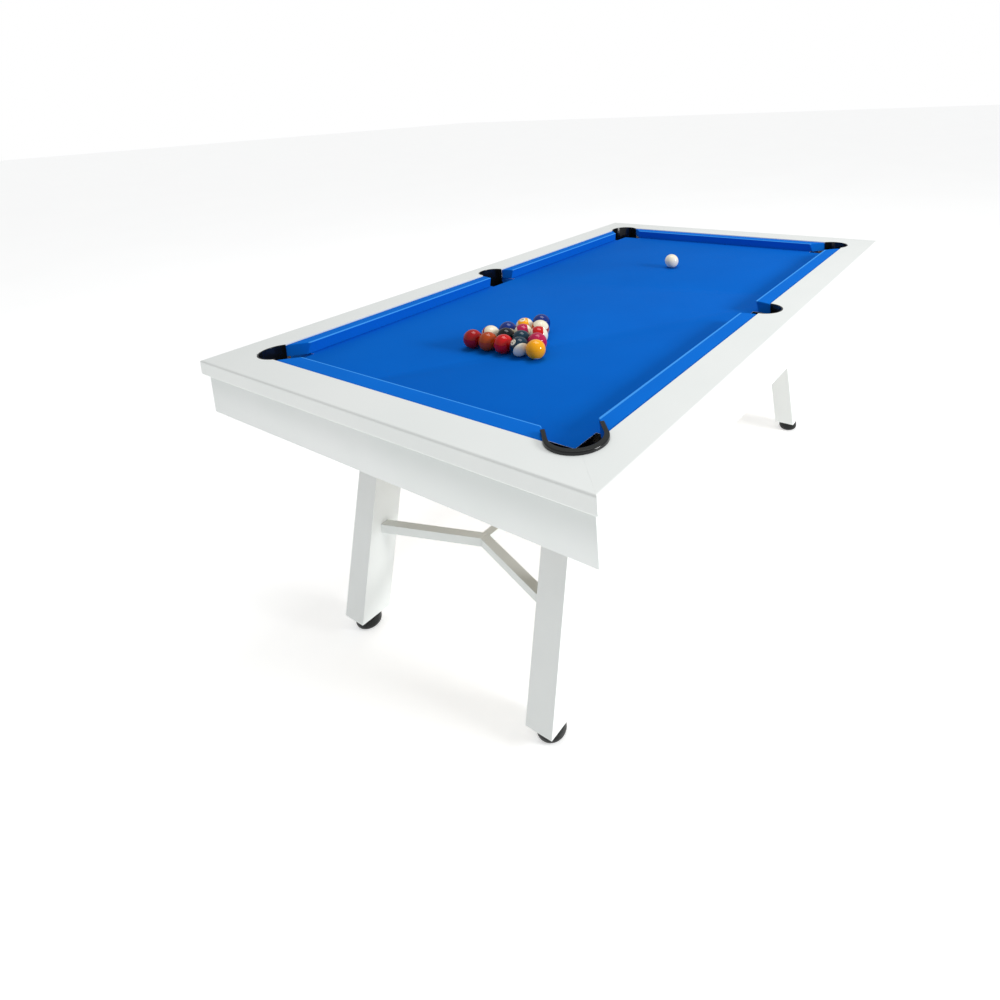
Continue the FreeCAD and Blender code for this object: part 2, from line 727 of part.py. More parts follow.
def make_legs():
    for end_name, end, side_name, side in leg_corners():
        leg = new_body(f"{end_name}_{side_name}_leg")
        sketch = new_sketch(leg, "XZ_Plane", f"{-side} * Places.leg_side_mid")
        draw_outline(sketch, leg_profile(end, "Places.leg_under", "Places.leg_top", "0"))
        add_feature(leg, "Pad", sketch, "Sizes.leg_wide", midplane=True)
        sketch = new_sketch(leg, "XZ_Plane", f"{-side} * Places.leg_side_mid")
        floor = "(Places.leg_under + Sizes.leg_end_plate)"
        draw_outline(sketch, leg_profile(end, floor, "(Places.leg_top + 1)", "Sizes.leg_wall"))
        bore = "Sizes.leg_wide - 2 * Sizes.leg_wall"
        add_feature(leg, "Pocket", sketch, bore, midplane=True)
        centre = (f"{end} * Places.foot_long", f"{side} * Places.leg_side_mid")
        hole = [(centre, "Sizes.stem_radius + Sizes.thread_gap")]
        cut_circles(leg, hole, floor, "Sizes.leg_end_plate")
        keep(leg, f"{end_name}_{side_name}_leg")


def make_foot(label, centre):
    """Round rubber foot with a blind hole for its stem."""
    foot = new_body(label)
    sketch = new_sketch(foot, "XY_Plane")
    draw_circle(sketch, centre, "Sizes.foot_radius")
    add_feature(foot, "Pad", sketch, "Sizes.foot_height")
    hole = [(centre, "Sizes.stem_radius + Sizes.stem_fit")]
    depth = "Sizes.foot_height - Sizes.stem_seat + Sizes.collar_gap"
    last = cut_circles(foot, hole, "Sizes.foot_height", depth)

    def outer_edge(level):
        def wanted(edge):
            box = edge.BoundBox
            wide = box.XLength > value_of("Sizes.foot_radius")
            return wide and abs(box.ZMin - level) < 0.01 and box.ZLength < 0.01

        return wanted

    last = round_edges(foot, last, "Sizes.foot_round", outer_edge(0))
    top_level = value_of("Sizes.foot_height")
    round_edges(foot, last, "Sizes.foot_top_round", outer_edge(top_level))
    keep(foot, label)


def make_stem(label, centre):
    """Levelling stem with a hexagon between the foot and the leg."""
    stem = new_body(label)
    sketch = new_sketch(stem, "XY_Plane", "Sizes.stem_seat")
    draw_circle(sketch, centre, "Sizes.stem_radius")
    add_feature(stem, "Pad", sketch, "Sizes.stem_top - Sizes.stem_seat")
    corner = "Sizes.collar_flats / sqrt(3)"
    hexagon = [
        (f"{centre[0]} + {corner} * cos({60 * n})", f"{centre[1]} + {corner} * sin({60 * n})")
        for n in range(6)
    ]
    bottom = "Sizes.foot_height + Sizes.collar_gap"
    raise_outline(stem, hexagon, bottom, "Sizes.foot_gap - 2 * Sizes.collar_gap")
    keep(stem, label)


def make_feet():
    for end_name, end, side_name, side in leg_corners():
        centre = (f"{end} * Places.foot_long", f"{side} * Places.leg_side_mid")
        make_foot(f"{end_name}_{side_name}_foot", centre)
        make_stem(f"{end_name}_{side_name}_stem", centre)


def hollow_tube(body, points, bore_points):
    """Square tube lying flat: an outline in plan with a smaller channel through it."""
    raise_outline(body, points, "Sizes.tube_top - Sizes.tube_side", "Sizes.tube_side")
    bore_top = "Sizes.tube_top - Sizes.tube_wall"
    cut_outline(body, bore_points, bore_top, "Sizes.tube_side - 2 * Sizes.tube_wall")


def arm_outline(half, start, stop):
    """Plan of a stretcher arm or its bore between two distances from the table's middle line."""
    place = "Places.hub_reach + Places.arm_slope"
    wide = f"{half} * Places.arm_skew"
    return [
        (f"{place} * ({start}) - {wide}", start),
        (f"{place} * ({start}) + {wide}", start),
        (f"{place} * ({stop}) + {wide}", stop),
        (f"{place} * ({stop}) - {wide}", stop),
    ]


def make_stretcher():
    """Four arms from the legs to two meeting points, joined by one long tube."""
    half = "(Sizes.tube_side / 2)"
    half_bore = "(Sizes.tube_side / 2 - Sizes.tube_wall)"
    for end_name, end, side_name, side in leg_corners():
        label = f"{end_name}_{side_name}_stretcher_arm"
        arm = new_body(label)
        outside = arm_outline(half, "0", "Places.leg_side_in")
        bore = arm_outline(half_bore, "-1", "Places.leg_side_in + 1")
        hollow_tube(arm, mirrored_points(outside, end, side), mirrored_points(bore, end, side))
        keep(arm, label)

    beam = new_body("stretcher_beam")
    slope = "Places.arm_slope"
    tip = f"(Places.hub_reach - {half} * Places.arm_skew)"
    right_half = [
        (f"{tip} + {slope} * {half}", half),
        (tip, "0"),
        (f"{tip} + {slope} * {half}", f"-{half}"),
    ]
    points = mirrored_points(right_half, side=-1) + mirrored_points(right_half, end=-1)
    far = "(Places.hub_reach + Sizes.tube_side)"
    hollow_tube(beam, points, box_points(f"-{far}", far, f"-{half_bore}", half_bore))
    keep(beam, "stretcher_beam")


# ---------------------------------------------------------------- balls


def make_ball(label, centre):
    ball = doc.addObject("Part::Sphere", label)
    ball.setExpression("Radius", "Places.ball_radius")
    for axis, expression in zip("xyz", (*centre, "Places.ball_centre")):
        ball.setExpression(f"Placement.Base.{axis}", expression)
    keep(ball, label)


def make_balls():
    """Cue ball on the head spot and fifteen balls in a slightly turned triangle."""
    make_ball("cue_ball", ("Sizes.cue_ball_place", "0"))
    rows = [(7, 5, 3, 14, 1), (15, 8, 6, 4), (10, 12, 11), (9, 13), (2,)]
    for row, numbers in enumerate(rows):
        for place, number in enumerate(numbers):
            along = f"({row} * sqrt(3) / 2 * Places.ball_pitch)"
            across = f"({(len(numbers) - 1) / 2 - place} * Places.ball_pitch)"
            turn = "Sizes.rack_turn"
            x = f"Sizes.rack_back + {along} * cos({turn}) - {across} * sin({turn})"
            y = f"Sizes.rack_side + {along} * sin({turn}) + {across} * cos({turn})"
            make_ball(f"ball_{number:02d}", (x, y))


def check_and_write():
    doc.recompute()
    for item in doc.Objects:
        if "Invalid" in item.State or "Error" in item.State:
            raise RuntimeError(f"{item.Label} did not recompute: {item.State}")
    for piece in sub_parts:
        if piece.Shape.isNull() or not piece.Shape.isValid() or not piece.Shape.Solids:
            raise RuntimeError(f"{piece.Label} has no valid solid")
    os.makedirs("parts", exist_ok=True)
    for piece in sub_parts:
        piece.Shape.exportStep(f"parts/{piece.Label}.step")
    print(len(sub_parts), "sub-parts written")


make_bed()
make_rails()
make_cushions()
make_aprons()
make_liners()
make_frame()
make_legs()
make_feet()
make_stretcher()
make_balls()
check_and_write()
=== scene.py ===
"""Mini pool table with six drop pockets, sixteen balls and four levelling feet.

Each sub-assembly is a class with its sizes as fields. main() builds them in order round the
CAD frame.
"""

import json
import logging
import math
from collections.abc import Sequence
from dataclasses import dataclass, field
from enum import Enum

import bmesh
import bpy
from mathutils import Matrix, Vector

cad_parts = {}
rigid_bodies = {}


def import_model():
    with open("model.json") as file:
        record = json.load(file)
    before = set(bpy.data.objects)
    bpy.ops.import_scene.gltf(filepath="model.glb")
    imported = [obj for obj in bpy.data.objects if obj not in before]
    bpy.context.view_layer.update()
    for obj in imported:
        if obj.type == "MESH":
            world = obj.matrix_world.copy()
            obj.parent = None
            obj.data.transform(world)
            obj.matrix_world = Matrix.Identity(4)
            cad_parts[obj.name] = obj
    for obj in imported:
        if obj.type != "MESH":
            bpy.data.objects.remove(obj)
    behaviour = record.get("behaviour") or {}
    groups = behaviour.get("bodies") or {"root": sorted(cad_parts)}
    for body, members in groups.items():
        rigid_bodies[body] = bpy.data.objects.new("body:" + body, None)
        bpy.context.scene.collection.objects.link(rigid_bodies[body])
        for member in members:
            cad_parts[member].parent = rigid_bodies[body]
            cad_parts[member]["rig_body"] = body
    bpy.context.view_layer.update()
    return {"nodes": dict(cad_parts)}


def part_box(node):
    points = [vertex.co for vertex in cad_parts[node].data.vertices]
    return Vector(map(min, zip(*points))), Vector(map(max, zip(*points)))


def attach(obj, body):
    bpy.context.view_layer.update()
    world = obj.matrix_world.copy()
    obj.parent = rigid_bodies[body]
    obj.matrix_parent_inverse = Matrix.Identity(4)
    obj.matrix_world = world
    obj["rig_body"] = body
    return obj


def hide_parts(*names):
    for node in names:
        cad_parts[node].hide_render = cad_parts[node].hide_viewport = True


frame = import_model()

logging.basicConfig(level=logging.INFO, format="%(message)s")
LOG = logging.getLogger("pool_table")

MM = 0.001
TABLE = "table"
COORDS = "ShaderNodeTexCoord"
NOISE = "ShaderNodeTexNoise"
MATH = "ShaderNodeMath"
BUMP = "ShaderNodeBump"
MIX = "ShaderNodeMix"
MAPPING = "ShaderNodeMapping"
RANGE = "ShaderNodeMapRange"
MIX_FACTOR, MIX_A, MIX_B, MIX_COLOUR = 0, 6, 7, 2  # sockets of a colour Mix node

Tree, Node, Socket = bpy.types.NodeTree, bpy.types.Node, bpy.types.NodeSocket
Shape, Edge = bmesh.types.BMesh, bmesh.types.BMEdge


class End(Enum):
    """Ends of the table along X."""

    FOOT = -1
    HEAD = 1


class Side(Enum):
    """Long sides of the table across Y."""

    LEFT = 1
    RIGHT = -1


class BallKind(Enum):
    """Ways a ball's resin is coloured."""

    CUE = "cue"
    SOLID = "solid"
    STRIPE = "stripe"


def label(*parts: Enum | str) -> str:
    """Joins the names of ends, sides and words into a node name."""
    return "_".join(part.name.lower() if isinstance(part, Enum) else part for part in parts)


def linear(colour: str) -> tuple[float, float, float, float]:
    """Turns an sRGB hex colour to linear.

    Args:
        colour: Six hex digits, with or without a leading #.

    Returns:
        Linear red, green, blue and an alpha of 1.
    """
    digits = colour.lstrip("#")
    shares = [int(digits[at : at + 2], 16) / 255 for at in (0, 2, 4)]
    red, green, blue = (
        share / 12.92 if share <= 0.04045 else ((share + 0.055) / 1.055) ** 2.4
        for share in shares
    )
    return red, green, blue, 1.0


def per_metre(size_mm: float) -> float:
    """Noise scale whose lumps are about this many millimetres across."""
    return 1 / (size_mm * MM)


def bands(period_mm: float) -> float:
    """Wave texture scale whose bands repeat every so many millimetres."""
    return 2 * math.pi / (20 * period_mm * MM)


def add_node(
    tree: Tree, kind: str, settings: dict | None = None, links: dict | None = None
) -> Node:
    """Adds one node with its settings and links.

    Args:
        tree: Node tree that gets it.
        kind: Node type.
        settings: Values by property name, socket name or socket number.
        links: Output sockets by the name or number of the input that each feeds.

    Returns:
        The new node.
    """
    made = tree.nodes.new(kind)
    for key, value in (settings or {}).items():
        if isinstance(key, str) and hasattr(made, key):
            setattr(made, key, value)
        else:
            made.inputs[key].default_value = value
    for key, source in (links or {}).items():
        tree.links.new(source, made.inputs[key])
    return made


# ---------------------------------------------------------------- finishes


@dataclass(frozen=True)
class Finish:
    """A surface finish: its name, colour and gloss. Each kind of finish adds its own nodes."""

    name: str
    colour: str
    roughness: float
    ior: float = 1.5

    def material(self) -> bpy.types.Material:
        """Makes the material, or finds it if it is made already.

        Returns:
            The material.
        """
        made = bpy.data.materials.get(self.name)
        if made:
            return made
        made = bpy.data.materials.new(self.name)
        made.use_nodes = True
        made.diffuse_color = linear(self.colour)
        tree = made.node_tree
        shader = tree.nodes["Principled BSDF"]
        shader.inputs["Base Color"].default_value = linear(self.colour)
        shader.inputs["Roughness"].default_value = self.roughness
        shader.inputs["IOR"].default_value = self.ior
        self.dress(shader)
        return made

    def dress(self, shader: Node) -> None:
        """Adds the nodes of this kind of finish.

        Args:
            shader: The material's Principled BSDF.
        """

    def blend(self, shader: Node, share: Socket, other: str) -> None:
        """Colours the surface between this finish's colour and another.

        Args:
            shader: The material's Principled BSDF.
            share: Socket that is 0 for this finish's colour and 1 for the other.
            other: Second colour, sRGB hex.
        """
        tree = shader.id_data
        mixed = add_node(
            tree,
            MIX,
            {"data_type": "RGBA", MIX_A: linear(self.colour), MIX_B: linear(other)},
            {MIX_FACTOR: share},
        )
        tree.links.new(mixed.outputs[MIX_COLOUR], shader.inputs["Base Color"])

    def mottle(
        self, shader: Node, other: str, size: float, low: float = 0.3, high: float = 0.7
    ) -> None:
        """Varies the base colour softly between this finish's colour and another.

        Args:
            shader: The material's Principled BSDF.
            other: Second colour, sRGB hex.
            size: Width of the patches, in mm.
            low: Noise value that is all the first colour.
            high: Noise value that is all the second colour.
        """
        tree = shader.id_data
        coords = add_node(tree, COORDS)
        noise = add_node(
            tree,
            NOISE,
            {"Scale": per_metre(size), "Detail": 4.0},
            {"Vector": coords.outputs["Object"]},
        )
        share = add_node(
            tree, RANGE, {"From Min": low, "From Max": high}, {"Value": noise.outputs["Fac"]}
        )
        self.blend(shader, share.outputs["Result"], other)

    def emboss(
        self, shader: Node, height: Socket, strength: float, depth: float
    ) -> None:
        """Turns a height into relief.

        Args:
            shader: The material's Principled BSDF.
            height: Socket of the height.
            strength: Share of the relief that shows.
            depth: Relief from low to high, in mm.
        """
        tree = shader.id_data
        bump = add_node(
            tree, BUMP, {"Strength": strength, "Distance": depth * MM}, {"Height": height}
        )
        tree.links.new(bump.outputs["Normal"], shader.inputs["Normal"])

    def roughen(
        self, shader: Node, size: float, detail: float, strength: float, depth: float
    ) -> None:
        """Embosses the surface with soft lumps.

        Args:
            shader: The material's Principled BSDF.
            size: Width of the lumps, in mm.
            detail: Levels of finer lumps on them.
            strength: Share of the relief that shows.
            depth: Relief from low to high, in mm.
        """
        tree = shader.id_data
        coords = add_node(tree, COORDS)
        lumps = add_node(
            tree,
            NOISE,
            {"Scale": per_metre(size), "Detail": detail},
            {"Vector": coords.outputs["Object"]},
        )
        self.emboss(shader, lumps.outputs["Fac"], strength, depth)

    def wear_gloss(
        self, shader: Node, size: float, detail: float, less: float, more: float
    ) -> None:
        """Varies the roughness in patches, as handling and dust do.

        Args:
            shader: The material's Principled BSDF.
            size: Width of the patches, in mm.
            detail: Levels of finer patches in them.
            less: Roughness taken off at one end.
            more: Roughness added at the other.
        """
        tree = shader.id_data
        coords = add_node(tree, COORDS)
        patches = add_node(
            tree,
            NOISE,
            {"Scale": per_metre(size), "Detail": detail},
            {"Vector": coords.outputs["Object"]},
        )
        gloss = add_node(
            tree,
            RANGE,
            {"To Min": self.roughness - less, "To Max": self.roughness + more},
            {"Value": patches.outputs["Fac"]},
        )
        tree.links.new(gloss.outputs["Result"], shader.inputs["Roughness"])


@dataclass(frozen=True)
class TableCloth(Finish):
    """Napped wool and nylon table cloth, woven, brushed and stretched.

    The nap gives faint brushed patches and next to no gloss. The weave only shows close up.
    """

    other: str = "#0065C9"
    patch: float = 240.0  # mm across the brushed patches
    thread: float = 0.9  # mm; real threads are about 0.5 mm and would be too fine to show
    nap: float = 2.2  # mm between the tufts

    def dress(self, shader: Node) -> None:
        """Adds brushed patches, nap, a plain weave and a sheen.

        Args:
            shader: The material's Principled BSDF.
        """
        tree = shader.id_data
        self.mottle(shader, self.other, self.patch)
        coords = add_node(tree, COORDS)
        threads = [
            add_node(
                tree,
                "ShaderNodeTexWave",
                {"bands_direction": way, "Scale": bands(self.thread), "Distortion": 0.6},
                {"Vector": coords.outputs["UV"]},
            ).outputs["Fac"]
            for way in ("X", "Y")
        ]
        weave = add_node(tree, MATH, {"operation": "MULTIPLY"}, dict(enumerate(threads)))
        nap = add_node(
            tree,
            NOISE,
            {"Scale": per_metre(self.nap), "Detail": 3.0},
            {"Vector": coords.outputs["Object"]},
        )
        height = add_node(
            tree, MATH, {"operation": "ADD"}, {0: weave.outputs[0], 1: nap.outputs["Fac"]}
        )
        self.emboss(shader, height.outputs[0], 0.3, 0.15)
        shader.inputs["Sheen Weight"].default_value = 0.03
        shader.inputs["Sheen Roughness"].default_value = 0.4
        shader.inputs["Sheen Tint"].default_value = linear("#3F8CFF")
        shader.inputs["Specular IOR Level"].default_value = 0.05


@dataclass(frozen=True)
class Laminate(Finish):
    """Melamine-faced board, pressed against a satin plate.

    It gives a clean white with broad soft reflections and the faintest orange peel.
    """

    other: str = "#F1F4F2"
    patch: float = 260.0  # mm across the slow changes of white
    marks: float = 60.0  # mm across the handling marks
    peel: float = 3.0  # mm between the lumps of the pressed face

    def dress(self, shader: Node) -> None:
        """Adds a slow change of white, handling marks in the gloss and the orange peel.

        Args:
            shader: The material's Principled BSDF.
        """
        self.mottle(shader, self.other, self.patch)
        self.wear_gloss(shader, self.marks, 5.0, 0.06, 0.08)
        self.roughen(shader, self.peel, 1.0, 0.08, 0.05)


@dataclass(frozen=True)
class PowderCoat(Finish):
    """Polyester powder coat, sprayed on welded steel and baked.

    It gives an even white with a tight orange peel that breaks up the highlights.
    """

    other: str = "#DDE3E0"
    patch: float = 120.0  # mm across the slow changes of white
    peel: float = 1.4  # mm between the lumps of the baked powder

    def dress(self, shader: Node) -> None:
        """Adds slow colour change and orange peel.

        Args:
            shader: The material's Principled BSDF.
        """
        self.mottle(shader, self.other, self.patch)
        self.roughen(shader, self.peel, 2.0, 0.22, 0.08)


@dataclass(frozen=True)
class MouldedPlastic(Finish):
    """ABS, injection moulded in a polished or a grained tool.

    It gives a deep black with highlights that wander a little over sink marks or grain.
    """

    grain: float = 9.0  # mm between the soft sinks of the moulding
    relief: float = 0.06  # mm from low to high
    dust: float = 25.0  # mm across the dusty patches

    def dress(self, shader: Node) -> None:
        """Adds sink marks and dust in the gloss.

        Args:
            shader: The material's Principled BSDF.
        """
        self.roughen(shader, self.grain, 2.0, 0.5, self.relief)
        self.wear_gloss(shader, self.dust, 6.0, 0.05, 0.1)


@dataclass(frozen=True)
class MouldedRubber(Finish):
    """Filled rubber, compression moulded.

    It gives a near black with a broad highlight, dulled by a fine grain.
    """

    other: str = "#2C322F"
    bloom: float = 18.0  # mm across the patches of bloom
    grain: float = 0.8  # mm

    def dress(self, shader: Node) -> None:
        """Adds bloom patches and a fine moulded grain.

        Args:
            shader: The material's Principled BSDF.
        """
        self.mottle(shader, self.other, self.bloom, 0.45, 0.75)
        self.roughen(shader, self.grain, 2.0, 0.35, 0.05)


@dataclass(frozen=True)
class ZincSteel(Finish):
    """Bright zinc plate on turned steel.

    It gives a cool metal with faint yellow and blue clouds and fine scratches.
    """

    other: str = "#C9C3B0"
    cloud: float = 6.0  # mm across the passivation's clouds
    scratch: float = 0.6  # mm

    def dress(self, shader: Node) -> None:
        """Adds the passivation's clouds and fine scratches.

        Args:
            shader: The material's Principled BSDF.
        """
        self.mottle(shader, self.other, self.cloud, 0.4, 0.7)
        shader.inputs["Metallic"].default_value = 1.0
        self.roughen(shader, self.scratch, 2.0, 0.2, 0.03)


@dataclass(frozen=True)
class BareBoard(Finish):
    """Medium fibreboard or sawn softwood, bare.

    Fibreboard shows a felt of fine fibres. A stretch below one along an axis draws them out
    into grain.
    """

    other: str = "#8F7350"
    stretch: tuple[float, float, float] = (1.0, 1.0, 1.0)
    fibre: float = 2.0  # mm across

    def dress(self, shader: Node) -> None:
        """Adds fibres in the colour and the relief.

        Args:
            shader: The material's Principled BSDF.
        """
        tree = shader.id_data
        coords = add_node(tree, COORDS)
        drawn = add_node(
            tree,
            MAPPING,
            {"vector_type": "POINT", "Scale": self.stretch},
            {"Vector": coords.outputs["Object"]},
        )
        fibres = add_node(
            tree,
            NOISE,
            {"Scale": per_metre(self.fibre), "Detail": 6.0, "Roughness": 0.7},
            {"Vector": drawn.outputs["Vector"]},
        )
        share = add_node(
            tree, RANGE, {"From Min": 0.35, "From Max": 0.7}, {"Value": fibres.outputs["Fac"]}
        )
        self.blend(shader, share.outputs["Result"], self.other)
        self.emboss(shader, fibres.outputs["Fac"], 0.4, 0.1)


@dataclass(frozen=True)
class BallResin(Finish):
    """Phenolic resin, cast and polished, with the coloured band cast in.

    It gives a deep wet gloss over an even colour, with ivory number spots at two poles.
    """

    kind: BallKind = BallKind.SOLID
    centre: tuple[float, float, float] = (0.0, 0.0, 0.0)
    turn: tuple[float, float, float] = (0.0, 0.0, 0.0)
    band: float = 14.2 * MM  # half width of the coloured band of a striped ball
    spot: float = 8.2 * MM  # radius of a number spot
    ivory: str = "#F3EBD2"

    def dress(self, shader: Node) -> None:
        """Adds the band, the number spots and faint casting clouds.

        Args:
            shader: The material's Principled BSDF.
        """
        tree = shader.id_data
        coords = add_node(tree, COORDS)
        own = add_node(
            tree,
            MAPPING,
            {"vector_type": "TEXTURE", "Location": self.centre, "Rotation": self.turn},
            {"Vector": coords.outputs["Object"]},
        )
        clouds = add_node(
            tree, NOISE, {"Scale": per_metre(30), "Detail": 2.0}, {"Vector": own.outputs["Vector"]}
        )
        self.emboss(shader, clouds.outputs["Fac"], 0.05, 0.05)
        if self.kind is BallKind.CUE:
            self.mottle(shader, "#FBF6E6", 30, 0.35, 0.65)
            return
        axes = add_node(tree, "ShaderNodeSeparateXYZ", {}, {"Vector": own.outputs["Vector"]})
        round_pole = add_node(
            tree, "ShaderNodeCombineXYZ", {}, {"X": axes.outputs["Y"], "Y": axes.outputs["Z"]}
        )
        reach = add_node(
            tree,
            "ShaderNodeVectorMath",
            {"operation": "LENGTH"},
            {0: round_pole.outputs["Vector"]},
        )
        spot = add_node(
            tree, MATH, {"operation": "LESS_THAN", 1: self.spot}, {0: reach.outputs["Value"]}
        )
        painted = add_node(
            tree,
            MIX,
            {"data_type": "RGBA", MIX_A: linear(self.colour), MIX_B: linear(self.ivory)},
            {MIX_FACTOR: spot.outputs[0]},
        )
        if self.kind is BallKind.STRIPE:
            height = add_node(tree, MATH, {"operation": "ABSOLUTE"}, {0: axes.outputs["Z"]})
            cap = add_node(
                tree, MATH, {"operation": "GREATER_THAN", 1: self.band}, {0: height.outputs[0]}
            )
            painted = add_node(
                tree,
                MIX,
                {"data_type": "RGBA", MIX_B: linear(self.ivory)},
                {MIX_FACTOR: cap.outputs[0], MIX_A: painted.outputs[MIX_COLOUR]},
            )
        tree.links.new(painted.outputs[MIX_COLOUR], shader.inputs["Base Color"])


@dataclass(frozen=True)
class PrintInk(Finish):
    """Black filler in a ball's engraved number, polished flush."""

    def dress(self, shader: Node) -> None:
        """Adds the slight unevenness of the filler."""
        self.mottle(shader, "#1C1C1E", 2, 0.4, 0.7)


@dataclass(frozen=True)
class StudioPaper(Finish):
    """Seamless paper under the table, pale and matt."""

    glow: float = 0.0

    def dress(self, shader: Node) -> None:
        """Adds the faint cockle of the paper, and its own light.

        Args:
            shader: The material's Principled BSDF.
        """
        self.mottle(shader, "#F4F5F5", 900)
        shader.inputs["Emission Color"].default_value = linear("#FFFFFF")
        shader.inputs["Emission Strength"].default_value = self.glow


CLOTH = TableCloth("napped_wool_cloth", "#0061C3", 0.85)
# The cushion cloth is a lighter copy of the bed cloth: painted light for the light that the
# cushion tops catch.
CUSHION_CLOTH_PAINTED_LIGHT = TableCloth("stretched_wool_cloth", "#056BD2", 0.85, other="#066FD8")
# Paler cloth on the top of the cushion noses: a painted highlight where the rounded nose catches
# the light.
NOSE_CLOTH_PAINTED_HIGHLIGHT = TableCloth("nose_wool_cloth", "#3F9BF4", 0.8, other="#46A1F6")
# Bright blue for the cloth turned down on the left notch walls and skirts: painted light that
# lifts the shade in the notches.
TURNED_CLOTH_PAINTED_LIGHT = TableCloth("turned_down_wool_cloth", "#1478F0", 0.85, other="#187CF2")
# Pale grey for the cloth's upright cut edges: a painted highlight where the edge catches the
# light.
CLOTH_EDGE_PAINTED_HIGHLIGHT = TableCloth("cloth_cut_edge", "#B9C6D2", 0.9, other="#D5DDE3")
RAIL_WHITE = Laminate("melamine_rail_white", "#EDF1EF", 0.38)
APRON_WHITE = Laminate("melamine_apron_white", "#E6EBE9", 0.42, other="#ECEFEE")
LEG_WHITE = PowderCoat("powder_coat_leg_white", "#F0F4F3", 0.45, other="#EDF1F0")
TUBE_WHITE = PowderCoat("powder_coat_tube_white", "#EAEFED", 0.45, other="#E6EBE9")
LINER_BLACK = MouldedPlastic("polished_abs_black", "#0F1113", 0.13)
COLLAR_BLACK = MouldedPlastic("grained_abs_black", "#101513", 0.4, 1.35, grain=1.2, relief=0.05)
FOOT_RUBBER = MouldedRubber("moulded_rubber", "#0A0C0B", 0.34, 1.38, other="#101211")
ZINC = ZincSteel("zinc_plated_steel", "#B9BDC2", 0.32)
FIBREBOARD = BareBoard("fibreboard", "#8A7F70", 0.8, other="#7C7163")
PINE = {"colour": "#D2C0A0", "roughness": 0.7, "other": "#B9A480", "fibre": 6.0}
PINE_ALONG = BareBoard("pine_along", stretch=(0.05, 1.0, 1.0), **PINE)
PINE_ACROSS = BareBoard("pine_across", stretch=(1.0, 0.05, 1.0), **PINE)
NUMBER_INK = PrintInk("number_ink", "#101012", 0.2)


# ---------------------------------------------------------------- mesh helpers


def finish_piece(
    name: str,
    shape: Shape,
    finishes: list[Finish],
    body: str,
    node: str,
    smooth_angle: float = 35,
) -> bpy.types.Object:
    """Turns a bmesh into a finished piece that rides on a body.

    Args:
        name: Piece name.
        shape: The shape in the table's frame, in metres; it is freed.
        finishes: Finishes in the order of the faces' material numbers.
        body: CAD body it rides on.
        node: CAD node that it replaces, or an empty string.
        smooth_angle: Edges sharper than this stay crisp, in degrees.

    Returns:
        The new object.
    """
    mesh = bpy.data.meshes.new(name)
    shape.to_mesh(mesh)
    shape.free()
    for finish in finishes:
        mesh.materials.append(finish.material())
    piece = bpy.data.objects.new(name, mesh)
    bpy.context.scene.collection.objects.link(piece)
    mesh.shade_smooth()
    mesh.set_sharp_from_angle(angle=math.radians(smooth_angle))
    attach(piece, body)
    if node:
        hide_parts(node)
    LOG.info("%s: %d faces on %s", name, len(mesh.polygons), body)
    return piece


def even_flats(piece: bpy.types.Object) -> None:
    """Keeps the flats beside rounded edges evenly lit."""
    piece.modifiers.new("even_flats", "WEIGHTED_NORMAL").keep_sharp = True


def merged_copy(node: str) -> Shape:
    """Copies a CAD node's mesh with its loose triangles joined and its flats made whole.

    Args:
        node: CAD node.

    Returns:
        The copy, in the table's frame.
    """
    shape = bmesh.new()
    shape.from_mesh(frame["nodes"][node].data)
    bmesh.ops.remove_doubles(shape, verts=shape.verts, dist=0.01 * MM)
    bmesh.ops.dissolve_limit(
        shape,
        angle_limit=math.radians(0.5),
        verts=shape.verts,
        edges=shape.edges,
        delimit={"NORMAL"},
    )
    return shape


def round_edges(
    shape: Shape, edges: list[Edge], width: float, segments: int = 2, clamp: bool = True
) -> None:
    """Rounds some edges of a shape.

    Args:
        shape: Shape to change.
        edges: Its edges to round.
        width: Width of the rounding, in mm.
        segments: Steps across it.
        clamp: Whether the rounding stops where two would meet.
    """
    bmesh.ops.bevel(
        shape,
        geom=edges,
        offset=width * MM,
        segments=segments,
        profile=0.5,
        affect="EDGES",
        clamp_overlap=clamp,
        material=-1,
    )


def ease_edges(shape: Shape, width: float, segments: int = 2, sharper_than: float = 40) -> None:
    """Rounds a shape's sharp convex edges.

    Args:
        shape: Shape to change.
        width: Width of the rounding, in mm.
        segments: Steps across it.
        sharper_than: Only edges with a larger angle are rounded, in degrees.
    """
    limit = math.radians(sharper_than)
    sharp = [
        edge
        for edge in shape.edges
        if len(edge.link_faces) == 2 and edge.is_convex and edge.calc_face_angle(0) > limit
    ]
    round_edges(shape, sharp, width, segments)


def dress_cad_piece(node: str, finish: Finish, slot: str, width: float, segments: int = 2) -> None:
    """Puts a copy of a CAD node with eased edges in its place.

    Args:
        node: CAD node.
        finish: Its finish.
        slot: The record's material slot; not used.
        width: Width of the eased edges, in mm.
        segments: Steps across an eased edge.
    """
    shape = merged_copy(node)
    ease_edges(shape, width, segments)
    body = frame["nodes"][node]["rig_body"]
    even_flats(finish_piece(f"{node}_made", shape, [finish], body, node))


def map_by_faces(shape: Shape) -> None:
    """Gives each face a flat UV map in metres, from the side that it faces.

    Args:
        shape: Shape to map.
    """
    layer = shape.loops.layers.uv.verify()
    for face in shape.faces:
        lean = [abs(part) for part in face.normal]
        across = {0: (1, 2), 1: (0, 2), 2: (0, 1)}[lean.index(max(lean))]
        for loop in face.loops:
            loop[layer].uv = (loop.vert.co[across[0]], loop.vert.co[across[1]])


# ---------------------------------------------------------------- playing surface


